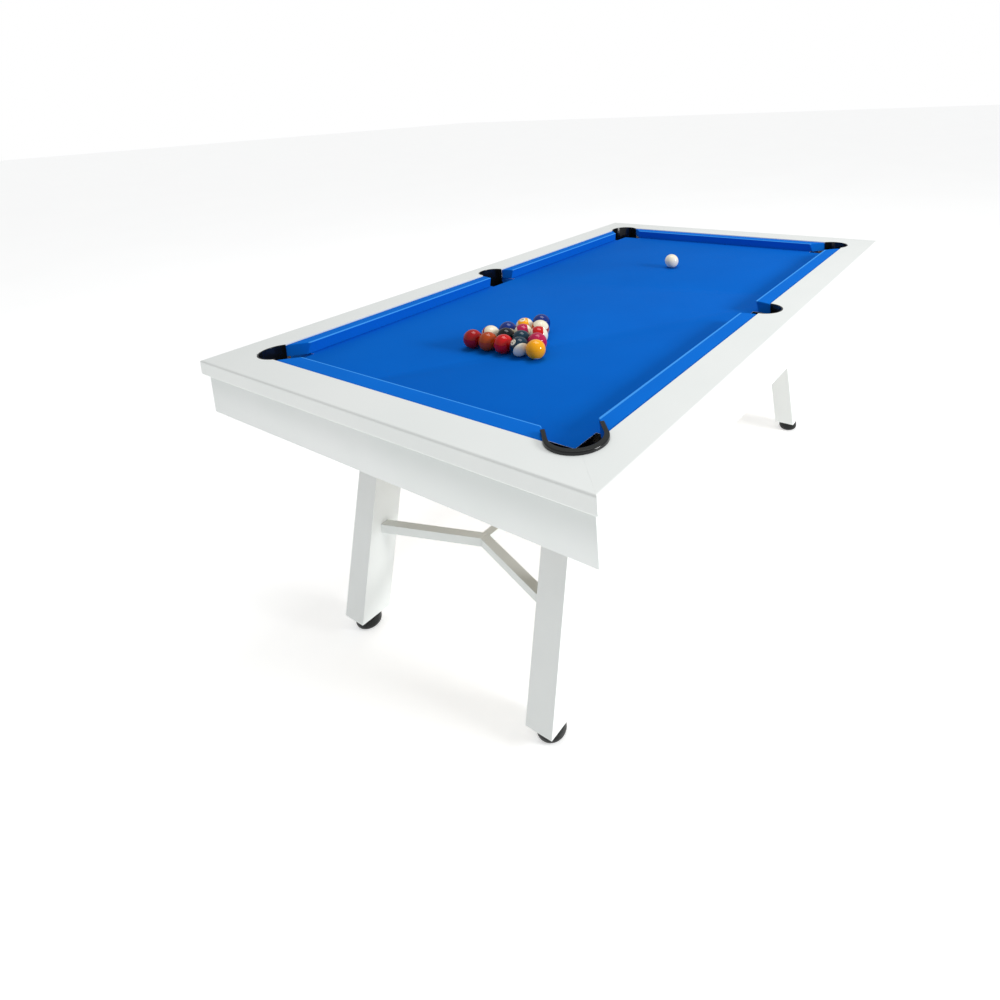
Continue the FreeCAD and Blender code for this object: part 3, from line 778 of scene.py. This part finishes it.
@dataclass
class PlayingBed:
    """The bed cloth, the board under it and the bearers that carry them."""

    cloth_wide: float = 1.151
    cloth_long: float = 1.931
    cloth_ease: float = 0.4  # mm
    board_ease: float = 0.5  # mm
    bearer_ease: float = 1.5  # mm
    point_inset: float = 6 * MM  # bed edge inside the nose line at a pocket
    corner_reach: float = 77.54 * MM  # notch along each nose line at a corner
    side_mouth: float = 57 * MM  # half width of a side notch
    outer_edge: float = 2 * MM  # strip along the board's outline that is no notch
    skirt_top: float = 2 * MM  # below the top of the board
    skirt_drop: float = 32 * MM  # below the bottom of the board
    skirt_thick: float = 1.0 * MM

    def cut_area(self, nose_long: float, nose_wide: float) -> float:
        """Flat area of the cloth with its six notches.

        Args:
            nose_long: Nose line of the end cushions from the middle.
            nose_wide: Nose line of the long cushions from the middle.

        Returns:
            Square metres.
        """
        half_long, half_wide = self.cloth_long / 2, self.cloth_wide / 2
        edge_long, edge_wide = nose_long - self.point_inset, nose_wide - self.point_inset
        corner = (half_long - edge_long) * (half_wide - nose_wide + self.corner_reach)
        corner += (edge_long - nose_long + self.corner_reach) * (half_wide - edge_wide)
        side = 2 * self.side_mouth * (half_wide - edge_wide)
        return self.cloth_long * self.cloth_wide - 4 * corner - 2 * side

    def build_cloth(self) -> None:
        """Lays the cloth, with a painted highlight in pale grey on its cut edge in the pockets."""
        shape = merged_copy("bed_cloth")
        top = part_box("bed_cloth")[1].z - 0.01 * MM
        rim = [edge for edge in shape.edges if min(v.co.z for v in edge.verts) > top]
        rim = [edge for edge in rim if edge.calc_face_angle(0) > math.radians(40)]
        round_edges(shape, rim, self.cloth_ease, clamp=False)
        # Upright faces, the cut edges, get the pale painted highlight.
        for face in shape.faces:
            face.material_index = int(abs(face.normal.z) < 0.5)
        bmesh.ops.triangulate(shape, faces=shape.faces)
        map_by_faces(shape)
        cloth = finish_piece(
            "bed_cloth_stretched", shape, [CLOTH, CLOTH_EDGE_PAINTED_HIGHLIGHT], TABLE, "bed_cloth"
        )
        nose_long = -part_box("foot_cushion")[1].x
        nose_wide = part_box("head_left_cushion")[0].y
        self.cut_area(nose_long, nose_wide)

    def build_board(self) -> None:
        """Dresses the board; its notch walls are bright blue cloth on the left, as painted light,
        and black on the right, as painted shade.
        """
        shape = merged_copy("bed_board")
        ease_edges(shape, self.board_ease)
        for face in shape.faces:
            # Left notch walls get the brightened cloth (painted light); right ones get black
            # plastic that stands in for the shade in those pockets (painted shade).
            notch = 1 if face.calc_center_median().y > 0 else 2
            face.material_index = notch if self.in_notch(face) else 0
        map_by_faces(shape)
        finishes = [FIBREBOARD, TURNED_CLOTH_PAINTED_LIGHT, LINER_BLACK]
        finish_piece("bed_board_made", shape, finishes, TABLE, "bed_board")

    def in_notch(self, face: bmesh.types.BMFace) -> bool:
        """Tells whether an upright face of the board is in a pocket notch.

        Args:
            face: Face of the board.

        Returns:
            Whether it is.
        """
        middle = face.calc_center_median()
        inside_long = abs(middle.x) < self.cloth_long / 2 - self.outer_edge
        inside_wide = abs(middle.y) < self.cloth_wide / 2 - self.outer_edge
        return inside_long and inside_wide and abs(face.normal.z) < 0.3

    def build_skirts(self) -> None:
        """Hangs the turned-down ends of the cloth inside the notches, below the board; those on
        the right are black, as painted shade, and those on the left bright blue, as painted light.
        """
        shape = merged_copy("bed_board")
        low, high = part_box("bed_board")
        away = [face for face in shape.faces if not self.in_notch(face)]
        bmesh.ops.delete(shape, geom=away, context="FACES")
        for vert in shape.verts:
            upper = vert.co.z > (low.z + high.z) / 2
            vert.co.z = high.z - self.skirt_top if upper else low.z - self.skirt_drop
        bmesh.ops.solidify(shape, geom=shape.faces, thickness=-self.skirt_thick)
        bmesh.ops.recalc_face_normals(shape, faces=shape.faces)
        # Skirts on the right are black as painted shade; those on the left use the brightened
        # cloth, as painted light.
        for face in shape.faces:
            face.material_index = int(face.calc_center_median().y < 0)
        map_by_faces(shape)
        finish_piece("notch_skirts", shape, [TURNED_CLOTH_PAINTED_LIGHT, LINER_BLACK], TABLE, "")

    def build_bearers(self) -> None:
        """Dresses the two layers of bearers, each with its grain along it."""
        shape = merged_copy("bed_bearers")
        ease_edges(shape, self.bearer_ease)
        low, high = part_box("bed_bearers")
        middle = (low.z + high.z) / 2
        for face in shape.faces:
            face.material_index = int(face.calc_center_median().z < middle)
        pines = [PINE_ALONG, PINE_ACROSS]
        finish_piece("bed_bearers_made", shape, pines, TABLE, "bed_bearers")

    def build(self) -> None:
        """Builds the board, its bearers and the cloth."""
        self.build_board()
        self.build_skirts()
        self.build_bearers()
        self.build_cloth()


@dataclass
class Cushion:
    """One rubber cushion with cloth stretched over it, between two pockets.

    Places along the cushion run with X or Y, from the table's middle. Depth runs from the nose
    to the rail.
    """

    node: str
    along: int  # axis the cushion runs on: 0 is X, 1 is Y
    out: int  # sign of the direction from the nose to the rail
    first: float  # place of the nose at one end
    last: float  # place of the nose at the other end
    first_slope: float  # growth along the cushion for each unit of depth
    last_slope: float
    columns: int = 16
    rows: int = 8
    undercut: float = 9 * MM
    crown: float = 0.6 * MM
    tuck: float = 3.4 * MM
    tucked: float = 0.1  # share of the depth that is tucked down at the rail
    lift: float = 0.1 * MM  # of the underside above the CAD cushion's
    nose_round: float = 2.4  # mm
    pale_nose: float = 6 * MM  # width of the painted highlight, a paler cloth strip along the nose
    liner_clear: float = 56.4 * MM  # from a corner pocket's centre

    def depth_of(self, share: float, level: float, deep: float) -> float:
        """Depth behind the nose of a point of the section.

        Args:
            share: 0 at the nose and 1 at the rail.
            level: 0 at the bed and 1 at the top.
            deep: Depth of the cushion.

        Returns:
            Metres behind the nose.
        """
        front = self.undercut * (1 - level) ** 0.8
        return front + share * (deep - front)

    def height_of(self, share: float, level: float, low: float, high: float) -> float:
        """Height of a point of the section, with a crowned top tucked down at the rail.

        Args:
            share: 0 at the nose and 1 at the rail.
            level: 0 at the bed and 1 at the top.
            low: Height of the underside.
            high: Height of the top.

        Returns:
            Height above the floor.
        """
        back = max(0.0, (share - 1 + self.tucked) / self.tucked)
        top = high - self.crown + self.crown * math.sin(math.pi * min(1, share + 0.15))
        top -= self.tuck * back**2
        return low + level * (top - low)

    def end_reach(
        self, place: float, slope: float, depth: float, centres: list[Vector], nose: float
    ) -> float:
        """Where the cushion ends at one depth, clear of the pocket liners.

        Args:
            place: Nose's place at that end.
            slope: Growth along the cushion for each unit of depth.
            depth: Depth behind the nose.
            centres: Centres of the corner pockets in plan.
            nose: The nose line across the cushion.

        Returns:
            Place along the cushion.
        """
        reach = place + slope * depth
        across = nose + self.out * depth
        for centre in centres:
            side = centre[1 - self.along] - across
            by_this_end = abs(centre[self.along] - reach) < 0.2
            if abs(side) < self.liner_clear and by_this_end:
                chord = math.sqrt(self.liner_clear**2 - side**2)
                edge = centre[self.along] - math.copysign(chord, centre[self.along])
                if abs(reach) > abs(edge):
                    reach = edge
        return reach

    def build(self, centres: list[Vector]) -> None:
        """Builds the cushion as a crowned section run between its two cut ends.

        Args:
            centres: Centres of the corner pockets in plan.
        """
        low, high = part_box(self.node)
        across = 1 - self.along
        nose = low[across] if self.out > 0 else high[across]
        deep = high[across] - low[across]
        shape = bmesh.new()
        grid = bmesh.ops.create_grid(
            shape, x_segments=self.columns, y_segments=self.rows, size=0.5
        )["verts"]
        section = {vert: (vert.co.x + 0.5, vert.co.y + 0.5) for vert in grid}
        grown = bmesh.ops.extrude_face_region(shape, geom=list(shape.faces))["geom"]
        ends = [item for item in grown if isinstance(item, bmesh.types.BMVert)]
        match = {(round(v.co.x, 5), round(v.co.y, 5)): section[v] for v in grid}
        places = [(vert, section[vert], self.first, self.first_slope) for vert in grid]
        places += [
            (vert, match[(round(vert.co.x, 5), round(vert.co.y, 5))], self.last, self.last_slope)
            for vert in ends
        ]
        for vert, (share, level), place, slope in places:
            depth = self.depth_of(share, level, deep)
            point = [0.0, 0.0, self.height_of(share, level, low.z + self.lift, high.z)]
            point[across] = nose + self.out * depth
            point[self.along] = self.end_reach(place, slope, depth, centres, nose)
            vert.co = point
        bmesh.ops.recalc_face_normals(shape, faces=shape.faces)
        self.round_nose(shape, nose, across)
        bmesh.ops.recalc_face_normals(shape, faces=shape.faces)
        map_by_faces(shape)
        # The cushion cloth is painted lighter than the bed cloth as painted light, and its nose
        # strip is a painted highlight.
        name, cloths = f"{self.node}_covered", [CUSHION_CLOTH_PAINTED_LIGHT, NOSE_CLOTH_PAINTED_HIGHLIGHT]
        cushion = finish_piece(name, shape, cloths, TABLE, self.node, 50)
        even_flats(cushion)

    def round_nose(self, shape: Shape, nose: float, across: int) -> None:
        """Rounds the nose's upper edge and the cut ends, and paints the top of the nose paler as a
        painted highlight.

        Args:
            shape: The cushion's shape.
            nose: The nose line.
            across: Axis across the cushion.
        """
        sharp = [
            edge
            for edge in shape.edges
            if edge.calc_face_angle(0) > math.radians(30)
            and min(v.co.z for v in edge.verts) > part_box(self.node)[0].z + 1 * MM
        ]
        round_edges(shape, sharp, self.nose_round, 3)
        # Faces on top of the nose get the paler cloth: a painted highlight.
        for face in shape.faces:
            depth = abs(face.calc_center_median()[across] - nose)
            face.material_index = int(depth < self.pale_nose and face.normal.z > 0.2)


@dataclass
class CushionSet:
    """The six cushions round the bed."""

    mouth: float = 61 * MM  # half of a side pocket's mouth between the noses
    mouth_lean: float = -11 / 48.5  # a side facing closes in by this share of the depth

    def build(self) -> None:
        """Builds two end cushions and four long ones."""
        corners = (End.FOOT, Side.LEFT), (End.HEAD, Side.RIGHT), (End.HEAD, Side.LEFT)
        centres = [sum(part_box(label(*corner, "pocket")), Vector()) / 2 for corner in corners]
        centres.append(Vector((centres[0].x, centres[1].y, centres[0].z)))
        for end in End:
            node = label(end, "cushion")
            low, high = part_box(node)
            deep = high.x - low.x
            Cushion(node, 1, end.value, low.y + deep, high.y - deep, -1, 1).build(centres)
            for side in Side:
                node = label(end, side, "cushion")
                low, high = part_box(node)
                deep = high.y - low.y
                far = (high.x if end is End.HEAD else low.x) - end.value * deep
                near = end.value * self.mouth
                lean = end.value * self.mouth_lean
                Cushion(node, 0, side.value, near, far, lean, end.value).build(centres)


# ---------------------------------------------------------------- rails and pockets


@dataclass
class RailFrame:
    """Rails round the top, aprons under them and blocks in the corners."""

    rail_ease: float = 0.9  # mm
    apron_ease: float = 0.8  # mm
    block_ease: float = 1.5  # mm

    def build_apron(self, node: str) -> None:
        """Dresses one apron, with its back left as bare board.

        Args:
            node: CAD node of the apron.
        """
        shape = merged_copy(node)
        ease_edges(shape, self.apron_ease)
        outward = sum(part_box(node), Vector()).to_2d().normalized()
        for face in shape.faces:
            face.material_index = int(face.normal.to_2d().dot(outward) < -0.9)
        faces = [APRON_WHITE, FIBREBOARD]
        finish_piece(f"{node}_made", shape, faces, TABLE, node)

    def build(self) -> None:
        """Dresses the four rails, the four aprons and the corner blocks."""
        for name in (*End, *Side):
            dress_cad_piece(label(name, "rail"), RAIL_WHITE, "white_rail", self.rail_ease)
            self.build_apron(label(name, "apron"))
        dress_cad_piece("corner_blocks", PINE_ACROSS, "bare_board", self.block_ease)


@dataclass
class PocketLiners:
    """Six moulded drop pockets; one stands proud as a raised collar."""

    raised: str = "foot_right_pocket"
    top_gap: float = 0.5 * MM  # the collar's top starts this far above the rails

    def build_liner(self, node: str) -> None:
        """Dresses one pocket, with a matt grain on the raised collar's top.

        Args:
            node: CAD node of the pocket.
        """
        shape = merged_copy(node)
        table_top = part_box("foot_rail")[1].z
        for face in shape.faces:
            high = face.calc_center_median().z > table_top + self.top_gap
            face.material_index = int(node == self.raised and high and face.normal.z > 0.8)
        skins = [LINER_BLACK, COLLAR_BLACK]
        finish_piece(f"{node}_made", shape, skins, TABLE, node)

    def build(self) -> None:
        """Dresses the corner and side pockets."""
        for side in Side:
            for end in End:
                self.build_liner(label(end, side, "pocket"))
            self.build_liner(label(side, "side_pocket"))


# ---------------------------------------------------------------- legs, feet and stretcher


@dataclass
class LegFrame:
    """Four leaning box-section legs with their plates, and the stretcher between them."""

    leg_ease: float = 1.6  # mm
    tube_ease: float = 1.2  # mm
    plate_ease: float = 0.8  # mm

    def build(self) -> None:
        """Dresses the legs, plates and stretcher."""
        tube = TUBE_WHITE, "stretcher_paint", self.tube_ease
        for end in End:
            for side in Side:
                dress_cad_piece(label(end, side, "leg"), LEG_WHITE, "leg_paint", self.leg_ease, 3)
                dress_cad_piece(label(end, side, "stretcher_arm"), *tube)
        dress_cad_piece("stretcher_beam", *tube)
        dress_cad_piece("leg_plates", LEG_WHITE, "leg_steel", self.plate_ease)


@dataclass
class HexBolts:
    """Hexagon-headed bolts with washers, all pointing up."""

    node: str
    spots: list[tuple[float, float]]
    head_radius: float = 6.8 * MM
    washer_radius: float = 9 * MM
    shank_radius: float = 3.9 * MM
    head: float = 4.5 * MM  # height of the head with its washer
    washer: float = 1.2 * MM
    turn: float = 0.7  # radians from one head to the next, as tightening leaves them

    def build(self) -> None:
        """Builds the heads, washers and shanks, in the place of the CAD bolts."""
        low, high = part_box(self.node)
        shape = bmesh.new()
        for number, (x, y) in enumerate(self.spots):
            parts = (
                (6, self.head_radius, low.z, self.head - self.washer, 0.5),
                (24, self.washer_radius, low.z + self.head - self.washer, self.washer, 0.2),
                (16, self.shank_radius, low.z + self.head, high.z - low.z - self.head, 0.2),
            )
            for sides, radius, bottom, height, ease in parts:
                place = Matrix.Translation((x, y, bottom + height / 2))
                made = bmesh.ops.create_cone(
                    shape, cap_ends=True, segments=sides, radius1=radius, radius2=radius,
                    depth=height, matrix=place @ Matrix.Rotation(self.turn * number, 4, "Z"),
                )["verts"]
                edges = {edge for vert in made for edge in vert.link_edges}
                rims = [
                    edge
                    for edge in edges
                    if abs(edge.verts[0].co.z - edge.verts[1].co.z) < 0.001 * MM
                ]
                round_edges(shape, rims, ease)
        finish_piece(f"{self.node}_made", shape, [ZINC], TABLE, self.node)


@dataclass
class LevellingFoot:
    """A moulded rubber foot that turns the threaded stem up and down."""

    corner: str
    steps: int = 72
    stem_steps: int = 40
    pitch: float = 1.75 * MM
    thread_depth: float = 0.9 * MM
    stem_radius: float = 6.0  # mm
    thread_from: float = 39.1  # mm above the floor
    nut_across: float = 10.97 * MM  # from the middle to a corner of the hexagon
    nut_middle: float = 37.75 * MM  # above the floor
    nut_thick: float = 2.7 * MM
    moulding: tuple[tuple[float, float], ...] = (  # radius and height, mm
        (0, 0), (20, 0), (23, 0.4), (26.5, 1.8), (29.8, 4.4), (32.2, 7.8), (33.5, 11.2),
        (34, 14.5), (34, 18.4), (33.6, 18.8), (33.6, 19.8), (34, 20.2), (34, 33.6), (33.6, 34.9),
        (32.6, 35.7), (31.4, 36), (12, 36), (11, 35.6), (10.2, 35.2), (6.3, 35.2), (6.3, 14),
        (0, 14),
    )

    def middle(self) -> Vector:
        """Finds the centre of the foot in plan, on the floor."""
        low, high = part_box(f"{self.corner}_foot")
        return Vector(((low.x + high.x) / 2, (low.y + high.y) / 2, 0))

    def spin_section(self, section: Sequence[tuple[float, float]], steps: int) -> Shape:
        """Spins a section round the foot's middle.

        Args:
            section: Radius and height of its points, in mm.
            steps: Steps round the turn.

        Returns:
            The turned shape.
        """
        centre = self.middle()
        shape = bmesh.new()
        verts = [shape.verts.new(centre + Vector((r * MM, 0, z * MM))) for r, z in section]
        edges = [shape.edges.new(pair) for pair in zip(verts, verts[1:])]
        bmesh.ops.spin(
            shape, geom=verts + edges, cent=centre, axis=(0, 0, 1), angle=math.tau,
            steps=steps, use_merge=True,
        )
        bmesh.ops.remove_doubles(shape, verts=shape.verts, dist=0.001 * MM)
        return shape

    def build_pad(self) -> None:
        """Builds the rubber foot round the stem's lower end."""
        node = f"{self.corner}_foot"
        shape = self.spin_section(self.moulding, self.steps)
        bmesh.ops.recalc_face_normals(shape, faces=shape.faces)
        finish_piece(f"{node}_moulded", shape, [FOOT_RUBBER], node, node)

    def build_stem(self) -> None:
        """Builds the stem with its rolled thread and hexagon."""
        node = f"{self.corner}_stem"
        low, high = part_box(node)
        outer, root = self.stem_radius, self.stem_radius - self.thread_depth / MM
        pitch = self.pitch / MM
        plain = [(0, low.z / MM), (root, low.z / MM), (outer, low.z / MM + 1), (outer, 36.4)]
        bottom, top = self.thread_from, high.z / MM
        turns = int((top - bottom - 2) / pitch)
        ridges = []
        for turn in range(turns):
            start = bottom + 1 + turn * pitch
            ridges += [(root, start), (root, start + 0.2 * pitch), (outer, start + 0.5 * pitch)]
            ridges += [(outer, start + 0.7 * pitch)]
        section = plain + [(outer - 0.1, 36.4), (outer - 0.1, bottom)] + ridges
        section += [(root, bottom + 1 + turns * pitch), (root, top - 0.3)]
        section += [(root - 0.4, top), (0, top)]
        shape = self.spin_section(section, self.stem_steps)
        hexagon = bmesh.ops.create_cone(
            shape, cap_ends=True, segments=6, radius1=self.nut_across, radius2=self.nut_across,
            depth=self.nut_thick,
            matrix=Matrix.Translation(self.middle() + Vector((0, 0, self.nut_middle))),
        )["verts"]
        corners = {edge for vert in hexagon for edge in vert.link_edges}
        round_edges(shape, list(corners), 0.3)
        bmesh.ops.recalc_face_normals(shape, faces=shape.faces)
        finish_piece(f"{node}_threaded", shape, [ZINC], node, node)

    def build(self) -> None:
        """Builds the foot and its stem."""
        self.build_pad()
        self.build_stem()


# ---------------------------------------------------------------- balls


@dataclass
class Ball:
    """One cast resin ball, with its number at both poles."""

    node: str
    colour: str
    kind: BallKind
    number: int = 0
    cap: Vector = field(default_factory=lambda: Vector((0, 0, 1)))  # towards a stripe's cap
    spot: Vector = field(default_factory=lambda: Vector((1, 0, 0)))  # towards a number spot
    numeral_height: float = 8.4 * MM
    numeral_proud: float = 0.04 * MM
    slice: float = 1.3 * MM  # between the cuts that let a numeral follow the ball
    roughness: float = 0.06
    ior: float = 1.44

    def turned(self) -> Matrix:
        """Turns the ball so that its cap and its number spot face their ways.

        Returns:
            Rotation of the ball.
        """
        cap = self.cap.normalized()
        spot = (self.spot - self.spot.dot(cap) * cap).normalized()
        return Matrix((spot, cap.cross(spot), cap)).transposed()

    def numeral(self, radius: float) -> Shape:
        """Shapes the number as thin patches on the ball's skin, at its two poles.

        Args:
            radius: Radius that the patches lie at.

        Returns:
            The number's faces, round the origin.
        """
        text = bpy.data.curves.new(f"{self.node}_text", "FONT")
        text.body = str(self.number)
        text.align_x, text.align_y = "CENTER", "CENTER"
        text.resolution_u = 4
        holder = bpy.data.objects.new(f"{self.node}_text", text)
        bpy.context.scene.collection.objects.link(holder)
        bpy.context.view_layer.update()
        flat = bpy.data.meshes.new_from_object(holder)
        shape = bmesh.new()
        shape.from_mesh(flat)
        bpy.data.objects.remove(holder)
        bpy.data.curves.remove(text)
        bpy.data.meshes.remove(flat)
        low, high = (
            Vector((pick(v.co.x for v in shape.verts), pick(v.co.y for v in shape.verts), 0))
            for pick in (min, max)
        )
        size = self.numeral_height / (high.y - low.y)
        bmesh.ops.translate(shape, verts=shape.verts, vec=-(low + high) / 2)
        bmesh.ops.scale(shape, verts=shape.verts, vec=(size, size, size))
        for axis in (0, 1):
            for step in range(-5, 6):
                place, normal = Vector(), Vector()
                place[axis], normal[axis] = step * self.slice, 1.0
                bmesh.ops.bisect_plane(
                    shape, geom=shape.verts[:] + shape.edges[:] + shape.faces[:],
                    dist=0.001 * MM, plane_co=place, plane_no=normal,
                )
        for vert in shape.verts:
            across, up = vert.co.x, vert.co.y
            vert.co = (math.sqrt(radius**2 - across**2 - up**2), across, up)
        other = bmesh.ops.duplicate(
            shape, geom=shape.verts[:] + shape.edges[:] + shape.faces[:]
        )["geom"]
        bmesh.ops.rotate(
            shape,
            verts=[item for item in other if isinstance(item, bmesh.types.BMVert)],
            cent=(0, 0, 0),
            matrix=Matrix.Rotation(math.pi, 3, "Z"),
        )
        return shape

    def build(self) -> None:
        """Builds the ball in the place of its CAD node."""
        low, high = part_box(self.node)
        centre, radius = (low + high) / 2, (high.z - low.z) / 2
        turn = tuple(self.turned().to_euler("XYZ"))
        shape = bmesh.new()
        bmesh.ops.create_uvsphere(shape, u_segments=72, v_segments=36, radius=radius)
        looks = self.colour, self.roughness, self.ior, self.kind, tuple(centre), turn
        finishes = [BallResin(f"resin_{self.node}", *looks)]
        if self.number:
            numeral = self.numeral(radius + self.numeral_proud)
            for face in numeral.faces:
                face.material_index = 1
            patch = bpy.data.meshes.new(f"{self.node}_patch")
            numeral.to_mesh(patch)
            numeral.free()
            shape.from_mesh(patch)
            bpy.data.meshes.remove(patch)
            finishes.append(NUMBER_INK)
        placed = Matrix.Translation(centre) @ self.turned().to_4x4()
        bmesh.ops.transform(shape, matrix=placed, verts=shape.verts)
        name = f"{self.node}_polished"
        finish_piece(name, shape, finishes, self.node, self.node, 60)


@dataclass
class BallSet:
    """Fifteen racked balls and the cue ball.

    A ball's turn is given along three ways: towards the foot right corner, to its right and up.
    """

    colours: tuple[str, ...] = (  # of balls 1 to 8; 9 to 15 have those of 1 to 7 in a band
        "#FFAC00", "#06297C", "#C8060B", "#B80C4C", "#AE4208", "#042F42", "#A00409", "#08080A",
    )
    near: Vector = field(default_factory=lambda: Vector((-0.70, -0.64, 0.32)))
    right: Vector = field(default_factory=lambda: Vector((0.675, -0.738, 0.0)))
    up: Vector = field(default_factory=lambda: Vector((0.236, 0.216, 0.947)))
    usual_cap: tuple[float, float, float] = (0.1, 0.0, 1.0)
    usual_spot: tuple[float, float, float] = (-0.45, -0.85, -0.3)
    caps: dict[int, tuple[float, float, float]] = field(
        default_factory=lambda: {
            14: (0.78, 0.25, -0.6), 15: (0.8, 0.3, 0.5), 10: (0.75, 0.0, -0.65),
            13: (0.6, 0.2, 0.7), 9: (0.1, 1.0, 0.2), 11: (0.1, 1.0, 0.0), 12: (0.0, 1.0, 0.1),
            **dict.fromkeys((1, 2, 4), (0.0, 1.0, 0.0)),
        }
    )
    spots: dict[int, tuple[float, float, float]] = field(
        default_factory=lambda: {
            14: (0.6, -0.6, 0.5), 15: (0.5, -0.8, 0.5), 10: (-0.2, 0.9, 0.1), 9: (0.5, -0.2, 0.8),
            1: (-0.2, 0.0, 1.0), **dict.fromkeys((2, 4, 11, 12), (-0.3, 0.0, 1.0)),
        }
    )

    def way(self, parts: tuple[float, float, float]) -> Vector:
        """Direction made of parts towards the near corner, to the right and up."""
        return parts[0] * self.near + parts[1] * self.right + parts[2] * self.up

    def build(self) -> None:
        """Builds all sixteen balls."""
        Ball("cue_ball", "#F3E9CC", BallKind.CUE).build()
        solids = len(self.colours)
        for number in range(1, 16):
            kind = BallKind.STRIPE if number > solids else BallKind.SOLID
            colour = self.colours[(number - 1) % solids]
            cap = self.way(self.caps.get(number, self.usual_cap))
            spot = self.way(self.spots.get(number, self.usual_spot))
            Ball(f"ball_{number:02d}", colour, kind, number, cap, spot).build()


# ---------------------------------------------------------------- studio


@dataclass
class Studio:
    """Pale floor, soft lights and the camera."""

    place: tuple[float, float, float] = (-1.783, -1.1685, 1.3854)
    heading: float = 34.74  # degrees from +X to the view direction
    dip: float = 10.40  # degrees below the horizon
    roll: float = -3.05  # degrees
    focal: float = 0.6775  # focal length as a share of the sensor's width
    shift: tuple[float, float] = (-0.09, -0.276)
    aim: Vector = field(default_factory=lambda: Vector((0, 0, 0.6)))  # of the lights
    floor_half: float = 40.0
    floor_gap: float = 0.5 * MM  # under the feet
    world_light: float = 0.47

    def build_floor(self) -> None:
        """Lays a wide pale floor."""
        shape = bmesh.new()
        bmesh.ops.create_grid(shape, x_segments=8, y_segments=8, size=self.floor_half)
        bmesh.ops.translate(shape, verts=shape.verts, vec=(0, 0, -self.floor_gap))
        mesh = bpy.data.meshes.new("studio_floor")
        shape.to_mesh(mesh)
        shape.free()
        mesh.materials.append(StudioPaper("studio_paper", "#F7F8F8", 0.9, glow=0.5).material())
        floor = bpy.data.objects.new("studio_floor", mesh)
        bpy.context.scene.collection.objects.link(floor)

    def build_light(
        self, name: str, place: Vector, size: tuple[float, float], power: float
    ) -> None:
        """Hangs one soft rectangular light, aimed at the middle of the table.

        Args:
            name: Light name.
            place: Its place.
            size: Width and height, in metres.
            power: Watts.
        """
        light = bpy.data.lights.new(name, "AREA")
        light.shape = "RECTANGLE"
        light.size, light.size_y = size
        light.energy = power
        lamp = bpy.data.objects.new(name, light)
        lamp.location = place
        lamp.rotation_euler = (self.aim - place).to_track_quat("-Z", "Y").to_euler()
        bpy.context.scene.collection.objects.link(lamp)

    def build_world(self) -> None:
        """Surrounds the scene with an even pale light, and shows as white behind the floor."""
        world = bpy.data.worlds.new("studio_world")
        bpy.context.scene.world = world
        world.use_nodes = True
        tree = world.node_tree
        background = tree.nodes["Background"]
        background.inputs["Color"].default_value = linear("#FFFFFF")
        ray = add_node(tree, "ShaderNodeLightPath")
        strength = add_node(
            tree,
            RANGE,
            {"To Min": self.world_light, "To Max": 1.0},
            {"Value": ray.outputs["Is Camera Ray"]},
        )
        tree.links.new(strength.outputs["Result"], background.inputs["Strength"])

    def build_camera(self) -> None:
        """Places the camera."""
        heading, dip, roll = (math.radians(angle) for angle in (self.heading, self.dip, self.roll))
        ahead = Vector(
            (math.cos(heading) * math.cos(dip), math.sin(heading) * math.cos(dip), -math.sin(dip))
        )
        right = ahead.cross(Vector((0, 0, 1))).normalized()
        up = right.cross(ahead)
        right, up = (
            math.cos(roll) * right + math.sin(roll) * up,
            -math.sin(roll) * right + math.cos(roll) * up,
        )
        lens = bpy.data.cameras.new("camera")
        lens.lens = self.focal * lens.sensor_width
        lens.shift_x, lens.shift_y = self.shift
        lens.clip_start, lens.clip_end = 0.01, 200
        camera = bpy.data.objects.new("camera", lens)
        camera.matrix_world = Matrix.Translation(self.place) @ Matrix(
            (right, up, -ahead)
        ).transposed().to_4x4()
        bpy.context.scene.collection.objects.link(camera)
        bpy.context.scene.camera = camera

    def build(self) -> None:
        """Builds the floor, the lights and the camera."""
        self.build_floor()
        self.build_world()
        self.build_light("key", Vector((0.6, -4.6, 2.3)), (1.4, 1.0), 135)
        self.build_light("top", Vector((0.6, 0.0, 4.4)), (2.4, 1.8), 54)
        self.build_camera()
        bpy.context.scene.view_settings.view_transform = "Standard"


@dataclass
class BoltPlan:
    """Places of the bolts in plan, from the table's middle."""

    rail_edge: float = 7 * MM  # from the outermost bolts' middles to the edge of their box
    end_rail: float = 250 * MM
    long_rail: tuple[float, float] = (260 * MM, 640 * MM)
    plate: tuple[float, float] = (656.5 * MM, 316.75 * MM)  # middle of a leg plate
    spread: tuple[float, float] = (58 * MM, 53 * MM)  # of its bolts from there

    def rails(self) -> list[tuple[float, float]]:
        """Places twelve bolts, from the bed up into the rails.

        Returns:
            Middles of the bolts.
        """
        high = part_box("rail_bolts")[1]
        long, wide = high.x - self.rail_edge, high.y - self.rail_edge
        spots = [(end.value * long, side.value * self.end_rail) for end in End for side in Side]
        spots += [
            (end.value * reach, side.value * wide)
            for end in End
            for side in Side
            for reach in self.long_rail
        ]
        return spots

    def plates(self) -> list[tuple[float, float]]:
        """Places four bolts through each of the four leg plates.

        Returns:
            Middles of the bolts.
        """
        return [
            (
                end.value * self.plate[0] + along * self.spread[0],
                side.value * self.plate[1] + across * self.spread[1],
            )
            for end in End
            for side in Side
            for along in (-1, 1)
            for across in (-1, 1)
        ]


def main() -> None:
    """Builds the studio and the table, piece by piece."""
    Studio().build()
    PlayingBed().build()
    CushionSet().build()
    RailFrame().build()
    PocketLiners().build()
    LegFrame().build()
    HexBolts("rail_bolts", BoltPlan().rails()).build()
    HexBolts("leg_bolts", BoltPlan().plates()).build()
    for end in End:
        for side in Side:
            LevellingFoot(label(end, side)).build()
    BallSet().build()


if __name__ == "__main__":
    main()
